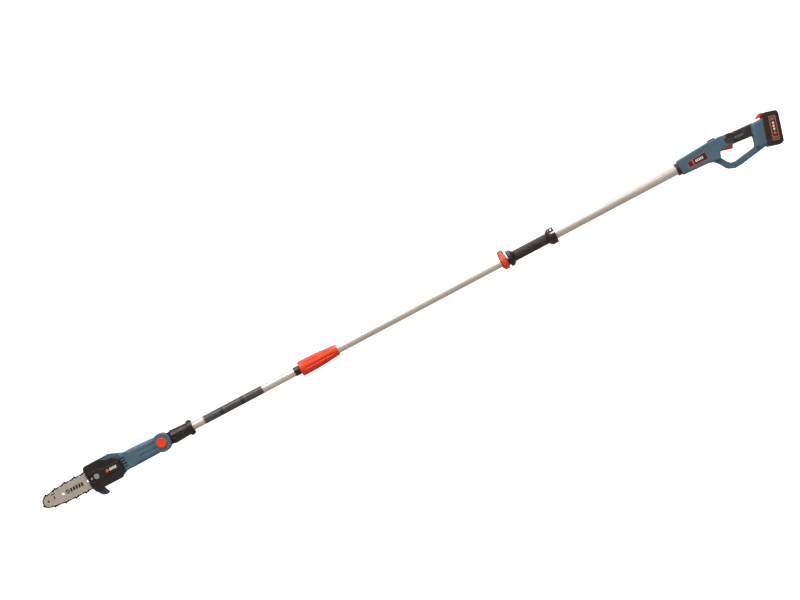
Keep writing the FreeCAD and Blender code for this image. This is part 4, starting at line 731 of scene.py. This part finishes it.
def rivet_tree():
    """Peened rivet head: a flattened ball half sunk at every point."""
    tree, given, ending = new_tree("Peened rivet", (
        ("Radius", "Float", 1.5 * MM), ("Rise", "Float", 0.45 * MM), ("Finish", "Material", None)))
    dome = add(tree, "GeometryNodeMeshUVSphere", {"Segments": 14, "Rings": 6, "Radius": 1.0})
    radius = given.outputs["Radius"]
    size = add(tree, "ShaderNodeCombineXYZ", {"X": radius, "Y": given.outputs["Rise"],
                                              "Z": radius})
    shaped = add(tree, "GeometryNodeTransform", {"Geometry": dome.outputs["Mesh"],
                                                 "Scale": size.outputs[0]})
    close_tree(tree, given, ending, shaped.outputs[0], turned=False)
    return tree


# ------------------------------------------------------------------ operators
# places in millimetres from the tilt pivot, along the pole and above its axis
BADGE_PLACE = (-191, -34.8, 3.5)
HANDLE_X = 1972.0
LABEL_X = HANDLE_X + 63.5
LABEL_FACE_Y = 23.1
INLAY_X, INLAY_Z = HANDLE_X + 224, 4.6
INLAY_FACE_Y = 16.8
BATTERY_X, BATTERY_Z = 2308.6, -26.0
BATTERY_FACE_Y = 37.7
BATTERY_LEAN = math.radians(16)
BATTERY_LABEL_UP = (3, -0.5)    # label's middle along the battery's thickness and its length
BAR_MARKS_X, BAR_MARKS_Z = -330, 2.5
CAMERA_AIM = (931.8, 0, 49.2)

# heights over the face: underside, top of the blank, top of the ink
LABEL_LAYERS = (0.02 * MM, 0.5 * MM, 0.72 * MM)
BADGE_LAYERS = (0.02 * MM, 0.45 * MM, 0.62 * MM)
BLANK_CORNER = 2.3 * MM
BAR_INK = 0.06 * MM


def made(name):
    """A material that the finishes operator has already made."""
    return bpy.data.materials[name]


class POLESAW_OT_finishes(Operator):
    """Give every CAD node the finish of its material slot"""
    bl_idname = "pole_saw.finishes"
    bl_label = "Finishes"

    def execute(self, context):
        ready = {slot: make() for slot, make in FINISHES.items()}
        given = {part["node"]: part["material_slot"] for part in frame["record"]["subparts"]}
        for name in NODES:
            piece = bpy.data.objects[name]
            slot = given[name]
            piece.data.materials.clear()
            piece.data.materials.append(ready[slot])
        return {"FINISHED"}


class POLESAW_OT_wrap(Operator):
    """Wrap the charcoal film round the front tube"""
    bl_idname = "pole_saw.wrap"
    bl_label = "Tube wrap"

    def execute(self, context):
        low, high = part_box("front_tube")
        radius = (high[2] - low[2]) / 2
        start = sizes().wrap_start
        builder = bmesh.new()
        tube_shell(builder, start, start + sizes().wrap_length, radius + 1e-5,
                   radius + sizes().wrap_skin, at(0, 0, 0))
        finish_piece("tube_wrap", mesh_of(builder, "tube_wrap"), wrap_film(), "front_pole")
        return {"FINISHED"}


def printed_set(stem, body, matrix, blank, border_width, marks, films, levels):
    """A label: its blank, a border if it has one, and marks in two inks, each its own piece."""
    floor, top, ink = levels
    corners, radius = blank
    builder = bmesh.new()
    plate(builder, corners, radius, floor, top, matrix)
    finish_piece(stem + "_blank", mesh_of(builder, stem + "_blank"), films["blank"], body)
    layers = {}
    if border_width:
        layers["accent"] = bmesh.new()
        border(layers["accent"], inward(corners, 0.4 * MM), radius, border_width, top, ink, matrix)
    for film, shape, corner in marks:
        layer = layers.setdefault(film, bmesh.new())
        plate(layer, shape, corner, top, ink, matrix, soften=0.03 * MM)
    for film, layer in layers.items():
        name = stem + "_" + film
        finish_piece(name, mesh_of(layer, name), films[film], body)


def label_films():
    """The three printed finishes, made once."""
    if "label_blank_film" not in bpy.data.materials:
        label_film("label_blank_film", "#1D1A1A", "#302B2A")
        label_film("label_accent_ink", "#F0561B", "#F5763F", rough=(0.30, 0.42))
        label_film("label_pale_ink", "#F1F0EC", "#DDDCD8", rough=(0.30, 0.42))
        label_film("label_grey_ink", "#6B6F70", "#858987", rough=(0.30, 0.42))
    return {"blank": made("label_blank_film"), "accent": made("label_accent_ink"),
            "pale": made("label_pale_ink"), "grey": made("label_grey_ink")}


def pale_bars(first_x, middle_y, count, width, height, step, slant=0.0):
    """A row of plain upright bars."""
    return [("pale", rectangle(width, height, (first_x + step * i, middle_y), slant), 0.15 * MM)
            for i in range(count)]


class POLESAW_OT_badge(Operator):
    """Set the plain badge into the sprocket cover"""
    bl_idname = "pole_saw.badge"
    bl_label = "Cover badge"

    def execute(self, context):
        matrix = facing(at(*BADGE_PLACE), -1)
        disc = rectangle(10.8 * MM, 10.8 * MM, (-13.6 * MM, -0.6 * MM))
        marks = [("accent", disc, 5.3 * MM)]
        marks += pale_bars(-3.2 * MM, -0.6 * MM, 5, 3.4 * MM, 9.2 * MM, 5.3 * MM, 0.6 * MM)
        blank = (rectangle(45.6 * MM, 16.6 * MM), BLANK_CORNER)
        printed_set("cover_badge", "saw_head", matrix, blank, 0, marks, label_films(),
                    BADGE_LAYERS)
        return {"FINISHED"}


class POLESAW_OT_handle_labels(Operator):
    """Set a bordered plain label into each side of the handle"""
    bl_idname = "pole_saw.handle_labels"
    bl_label = "Handle labels"

    def execute(self, context):
        base = [(-36, -14), (36, -17.5), (36, 11.5), (-36, 7)]
        corners = inward([(x * MM, z * MM) for x, z in base], 0.15 * MM)
        for name, side in (("left", -1), ("right", 1)):
            shape = corners if side < 0 else mirrored(corners)
            marks = [("accent", rectangle(5.2 * MM, 17.5 * MM, (-16.5 * MM, -2.9 * MM)), 1.2 * MM)]
            marks += pale_bars(-5.5 * MM, -2.6 * MM, 5, 4.0 * MM, 8.8 * MM, 6.1 * MM, 0.5 * MM)
            matrix = facing(at(LABEL_X, side * LABEL_FACE_Y, 0), side)
            printed_set("handle_label_" + name, "rear_pole", matrix, (shape, 2.8 * MM), 1.5 * MM,
                        marks, label_films(), LABEL_LAYERS)
        return {"FINISHED"}


class POLESAW_OT_battery_labels(Operator):
    """Set a bordered plain label into each side of the battery"""
    bl_idname = "pole_saw.battery_labels"
    bl_label = "Battery labels"

    def execute(self, context):
        out, up = BATTERY_LABEL_UP
        sine, cosine = math.sin(BATTERY_LEAN), math.cos(BATTERY_LEAN)
        middle_x = BATTERY_X + out * cosine + up * sine
        middle_z = BATTERY_Z - out * sine + up * cosine
        for name, side in (("left", -1), ("right", 1)):
            matrix = facing(at(middle_x, side * BATTERY_FACE_Y, middle_z), side, BATTERY_LEAN)
            marks = [("grey", rectangle(13.5 * MM, 9.5 * MM, (0, 31 * MM)), 1.2 * MM)]
            marks += [("pale", rectangle(6.4 * MM, 7.6 * MM, (0, height * MM)), 0.5 * MM)
                      for height in (17.5, 7.0, -3.5)]
            marks += [("accent", rectangle(9.5 * MM, 9.5 * MM, (0, -17 * MM)), 4.7 * MM),
                      ("grey", rectangle(13.5 * MM, 8.5 * MM, (0, -31.5 * MM)), 3.6 * MM)]
            blank = (rectangle(23.7 * MM, 83.7 * MM), BLANK_CORNER)
            printed_set("battery_label_" + name, "battery", matrix, blank, 2.6 * MM, marks,
                        label_films(), LABEL_LAYERS)
        return {"FINISHED"}


class POLESAW_OT_grip_inlays(Operator):
    """Lay a shell-coloured inlay into each side of the rubber grip"""
    bl_idname = "pole_saw.grip_inlays"
    bl_label = "Grip inlays"

    def execute(self, context):
        for name, side in (("left", -1), ("right", 1)):
            matrix = facing(at(INLAY_X, side * INLAY_FACE_Y, INLAY_Z), side,
                            side * math.radians(-3.5))
            builder = bmesh.new()
            plate(builder, rectangle(36.5 * MM, 6.6 * MM), 3.2 * MM, 0, 0.7 * MM, matrix,
                  soften=0.25 * MM)
            finish_piece("grip_inlay_" + name, mesh_of(builder, "grip_inlay_" + name),
                         made("blue_grey_shell_plastic"), "rear_pole")
        return {"FINISHED"}


class POLESAW_OT_bar_marks(Operator):
    """Print plain dark marks on the camera side of the guide bar"""
    bl_idname = "pole_saw.bar_marks"
    bl_label = "Bar marks"

    def execute(self, context):
        ink = label_film("bar_ink", "#231E1B", "#3A332E", rough=(0.35, 0.5))
        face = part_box("guide_bar")[0][1] / MM
        matrix = facing(at(BAR_MARKS_X, face, BAR_MARKS_Z), -1)
        shapes = [(rectangle(7.2 * MM, 12.5 * MM, ((-13.5 + 10.2 * i) * MM, 0), 0.9 * MM), 0.4)
                  for i in range(5)]
        shapes += [(rectangle(13 * MM, 3.4 * MM, (-76 * MM, 15.5 * MM)), 1.2),
                   (rectangle(4.6 * MM, 9.0 * MM, (-76 * MM, 3.0 * MM), 0.7 * MM), 0.8)]
        builder = bmesh.new()
        for corners, radius in shapes:
            plate(builder, corners, radius * MM, 0, BAR_INK, matrix, soften=0.02 * MM)
        border(builder, rectangle(12.5 * MM, 14.0 * MM, (-27 * MM, 0)), 5.8 * MM, 3.6 * MM, 0,
               BAR_INK, matrix)
        finish_piece("bar_marks", mesh_of(builder, "bar_marks"), ink, "cutting_bar")
        return {"FINISHED"}


HEAD_HEIGHT = 2.4 * MM
HEAD_SINK = 1.2 * MM        # from the CAD screw's end to the middle of its head
SHANK_RADIUS = 1.25 * MM
THREAD_PITCH = 1.6 * MM
RIM_SHARE = 0.55            # an end that reaches past this share of the radius is the head


class POLESAW_OT_screws(Operator):
    """Stand a detailed screw in the place of every plain one in the head and handle"""
    bl_idname = "pole_saw.screws"
    bl_label = "Housing screws"

    def execute(self, context):
        tree = screw_tree()
        steel = made("zinc_plated_steel")
        for node, body in (("head_screws", "saw_head"), ("handle_screws", "rear_pole")):
            whole = bmesh.new()
            for points in islands(node):
                low, high = corners_of(points)
                centre = (low + high) / 2
                head_radius = (high.x - low.x) / 2
                near = max(math.hypot(p.x - centre.x, p.z - centre.z) for p in points
                           if p.y < low.y + 3e-4)
                front = near > head_radius * RIM_SHARE
                place = Vector((centre.x, low.y + HEAD_SINK if front else high.y - HEAD_SINK,
                                centre.z))
                turn = (math.pi / 2 if front else -math.pi / 2, 0, 0)
                mesh = grown_mesh("screw", tree, [place], {
                    "Head radius": head_radius, "Head height": HEAD_HEIGHT,
                    "Shank radius": SHANK_RADIUS, "Length": high.y - low.y - 1.3 * MM,
                    "Thread pitch": THREAD_PITCH, "Finish": steel}, [turn])
                whole.from_mesh(mesh)
                bpy.data.meshes.remove(mesh)
            mesh = bpy.data.meshes.new(node + "_detailed")
            whole.to_mesh(mesh)
            whole.free()
            finish_piece(node + "_detailed", mesh, steel, body, replaces=(node,))
        return {"FINISHED"}


class POLESAW_OT_rivets(Operator):
    """Peen a head on both ends of every chain rivet"""
    bl_idname = "pole_saw.rivets"
    bl_label = "Chain rivets"

    def execute(self, context):
        points = []
        for solid in islands("saw_chain"):
            low, high = corners_of(solid)
            if max(high.x - low.x, high.z - low.z) < 2.2 * MM:
                centre = (low + high) / 2
                points += [(centre.x, low.y + 0.3 * MM, centre.z),
                           (centre.x, high.y - 0.3 * MM, centre.z)]
        steel = made("oiled_chain_steel")
        mesh = grown_mesh("chain_rivet_heads", rivet_tree(), points, {
            "Radius": 1.35 * MM, "Rise": 0.42 * MM, "Finish": steel})
        finish_piece("chain_rivet_heads", mesh, steel, "cutting_bar")
        nose_low, nose_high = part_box("nose_sprocket")
        bar_low, bar_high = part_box("guide_bar")
        nose = (Vector(nose_low) + Vector(nose_high)) / 2
        mesh = grown_mesh("nose_rivet_heads", rivet_tree(), [
            (nose.x, bar_low[1] + 0.2 * MM, nose.z), (nose.x, bar_high[1] - 0.2 * MM, nose.z)], {
            "Radius": 3.7 * MM, "Rise": 0.75 * MM, "Finish": steel})
        finish_piece("nose_rivet_heads", mesh, steel, "cutting_bar")
        return {"FINISHED"}


SPRINGS = (
    # node, axis it stands along, wire radius in mm, turns, body, joint that presses it,
    # end that stays put, share of its height when pressed
    ("tilt_spring", 1, 0.6, 3.4, "saw_head", "tilt_button_press", "high", 0.29),
    ("trigger_spring", 2, 0.4, 4.0, "rear_pole", "trigger_pull", "high", 0.60),
    ("lock_off_spring", 2, 0.4, 3.0, "rear_pole", "lock_off_press", "low", 0.27),
)


class POLESAW_OT_springs(Operator):
    """Wind the three button springs as real coils"""
    bl_idname = "pole_saw.springs"
    bl_label = "Springs"

    def execute(self, context):
        tree = spring_tree()
        steel = made("zinc_plated_steel")
        for node, axis, wire_radius, rounds, body, joint, held, pressed in SPRINGS:
            low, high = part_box(node)
            size = [high[i] - low[i] for i in range(3)]
            middle = Vector([(low[i] + high[i]) / 2 for i in range(3)])
            base = middle.copy()
            base[axis] = low[axis] + wire_radius * MM
            turn = (0, 0, 0) if axis == 2 else (-math.pi / 2, 0, 0)
            mesh = grown_mesh(node + "_coil", tree, [base], {
                "Coil radius": size[0] / 2 - wire_radius * MM * 1.02,
                "Wire radius": wire_radius * MM, "Height": size[axis] - 2 * wire_radius * MM,
                "Turns": rounds, "Wire sides": sizes().wire_segments, "Finish": steel}, [turn])
            coil = finish_piece(node + "_coil", mesh, steel, body,
                                replaces=(node,))
            anchor = middle.copy()
            anchor[axis] = high[axis] if held == "high" else low[axis]
            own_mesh(coil)
        return {"FINISHED"}


def studio_paper():
    """Seamless studio paper: matt, near white, faint tooth, lifted a little so it stays pale."""
    material, tree, shader = start_material("seamless_studio_paper", roughness=0.95)
    tooth = grain(tree, 3, 3)
    base = blend_colours(tree, ramp(tree, tooth, 0.0, 1.0, 0.4, 0.6), linear("#FBFBFB"),
                         linear("#FFFFFF"))
    tree.links.new(base, shader.inputs["Base Color"])
    shader.inputs["Emission Color"].default_value = (1, 1, 1, 1)
    shader.inputs["Emission Strength"].default_value = 1.0
    return material


# sizes and places of the stage in metres, lamps in watts; places are from the object's middle
FLOOR_RADIUS, DOME_RADIUS, FLOOR_DROP = 60.0, 62.0, 0.6
LAMPS = (
    # name, place, width and height, power
    ("key_softbox", (-0.4, -2.4, 3.0), (3.8, 1.3), 80),
    ("top_softbox", (0.2, -0.1, 2.5), (3.8, 0.6), 58),
    ("front_softbox", (0.6, -5.0, 0.4), (4.4, 1.6), 16),
)


class POLESAW_OT_stage(Operator):
    """Set up the paper sweep, the soft lamps and the camera"""
    bl_idname = "pole_saw.stage"
    bl_label = "Stage"

    def execute(self, context):
        scene = context.scene
        low, high = CAD_BOX
        middle = (Vector(low) + Vector(high)) / 2
        self.sweep(scene, Vector((middle.x, 0, low[2] - FLOOR_DROP)))
        self.sky(scene)
        for name, offset, size, power in LAMPS:
            self.lamp(scene, name, middle + Vector(offset), middle, size,
                      power * sizes().lamp_strength)
        self.camera(scene)
        scene.view_settings.view_transform = "Standard"
        return {"FINISHED"}

    def sweep(self, scene, centre):
        """Paper floor under a paper dome; they are seen, but cast and bounce no light."""
        paper = studio_paper()
        floor = bmesh.new()
        bmesh.ops.create_circle(floor, cap_ends=True, segments=96, radius=FLOOR_RADIUS)
        bmesh.ops.translate(floor, verts=floor.verts, vec=centre)
        dome = bmesh.new()
        bmesh.ops.create_uvsphere(dome, u_segments=48, v_segments=24, radius=DOME_RADIUS)
        bmesh.ops.reverse_faces(dome, faces=dome.faces)
        for name, builder in (("paper_floor", floor), ("paper_dome", dome)):
            mesh = bpy.data.meshes.new(name)
            builder.to_mesh(mesh)
            builder.free()
            mesh.materials.append(paper)
            for face in mesh.polygons:
                face.use_smooth = name == "paper_dome"
            piece = bpy.data.objects.new(name, mesh)
            scene.collection.objects.link(piece)
            piece.visible_diffuse = False
            piece.visible_glossy = False
            piece.visible_shadow = False

    def camera(self, scene):
        """Level camera square to the pole, rolled so that the pole climbs to the right."""
        camera = bpy.data.cameras.new("studio_camera")
        holder = bpy.data.objects.new("studio_camera", camera)
        scene.collection.objects.link(holder)
        roll = sizes().camera_roll
        right = Vector((math.cos(roll), 0, -math.sin(roll)))
        up = Vector((math.sin(roll), 0, math.cos(roll)))
        turned = Matrix((right, up, Vector((0, -1, 0)))).transposed().to_4x4()
        stand = at(*CAMERA_AIM) + Vector((0, -sizes().camera_distance, 0))
        holder.matrix_world = Matrix.Translation(stand) @ turned
        camera.lens = sizes().camera_lens
        camera.sensor_width = 36.0
        camera.clip_end = 100.0
        scene.camera = holder

    def sky(self, scene):
        """Sky that is bright overhead, dim at eye level, with a warm bounce from the table."""
        world = bpy.data.worlds.new("soft_studio_world")
        scene.world = world
        world.use_nodes = True
        tree = world.node_tree
        rise = add(tree, "ShaderNodeValToRGB")
        rise.color_ramp.elements[0].color = (0.52, 0.48, 0.44, 1)
        rise.color_ramp.elements[1].color = (0.72, 0.72, 0.72, 1)
        level = rise.color_ramp.elements.new(0.5)
        level.color = (0.20, 0.195, 0.19, 1)
        height = coordinate(tree, "Z", "Generated")
        tree.links.new(ramp(tree, height, 0.0, 1.0, -0.6, 0.8), rise.inputs["Fac"])
        background = tree.nodes["Background"]
        tree.links.new(rise.outputs["Color"], background.inputs["Color"])
        background.inputs["Strength"].default_value = 1.0

    def lamp(self, scene, name, place, target, size, power):
        """A rectangular softbox that faces the pole."""
        light = bpy.data.lights.new(name, "AREA")
        light.shape = "RECTANGLE"
        light.size, light.size_y = size
        light.energy = power
        holder = bpy.data.objects.new(name, light)
        scene.collection.objects.link(holder)
        holder.location = place
        holder.rotation_euler = (target - place).to_track_quat("-Z", "Y").to_euler()


class POLESAW_PT_panel(Panel):
    """Sidebar panel with the sizes, the colours and every operator"""
    bl_idname = "POLESAW_PT_panel"
    bl_label = "Pole Saw"
    bl_space_type = "VIEW_3D"
    bl_region_type = "UI"
    bl_category = "Pole Saw"

    def draw(self, context):
        layout = self.layout
        for owner in (context.scene.pole_saw_sizes, context.scene.pole_saw_colours):
            column = layout.column(align=True)
            for key in owner.__annotations__:
                column.prop(owner, key)
        for operator in OPERATORS:
            layout.operator(operator.bl_idname)


OPERATORS = (POLESAW_OT_finishes, POLESAW_OT_wrap, POLESAW_OT_badge, POLESAW_OT_handle_labels,
             POLESAW_OT_battery_labels, POLESAW_OT_grip_inlays, POLESAW_OT_bar_marks,
             POLESAW_OT_screws, POLESAW_OT_rivets, POLESAW_OT_springs, POLESAW_OT_stage)
CLASSES = (PoleSawColours, PoleSawSizes) + OPERATORS + (POLESAW_PT_panel,)


def register():
    for item in CLASSES:
        bpy.utils.register_class(item)
    bpy.types.Scene.pole_saw_sizes = PointerProperty(type=PoleSawSizes)
    bpy.types.Scene.pole_saw_colours = PointerProperty(type=PoleSawColours)


def unregister():
    del bpy.types.Scene.pole_saw_colours
    del bpy.types.Scene.pole_saw_sizes
    for item in reversed(CLASSES):
        bpy.utils.unregister_class(item)


def main():
    register()
    for operator in OPERATORS:
        getattr(bpy.ops.pole_saw, operator.bl_idname.split(".")[1])()


if __name__ == "__main__":
    main()
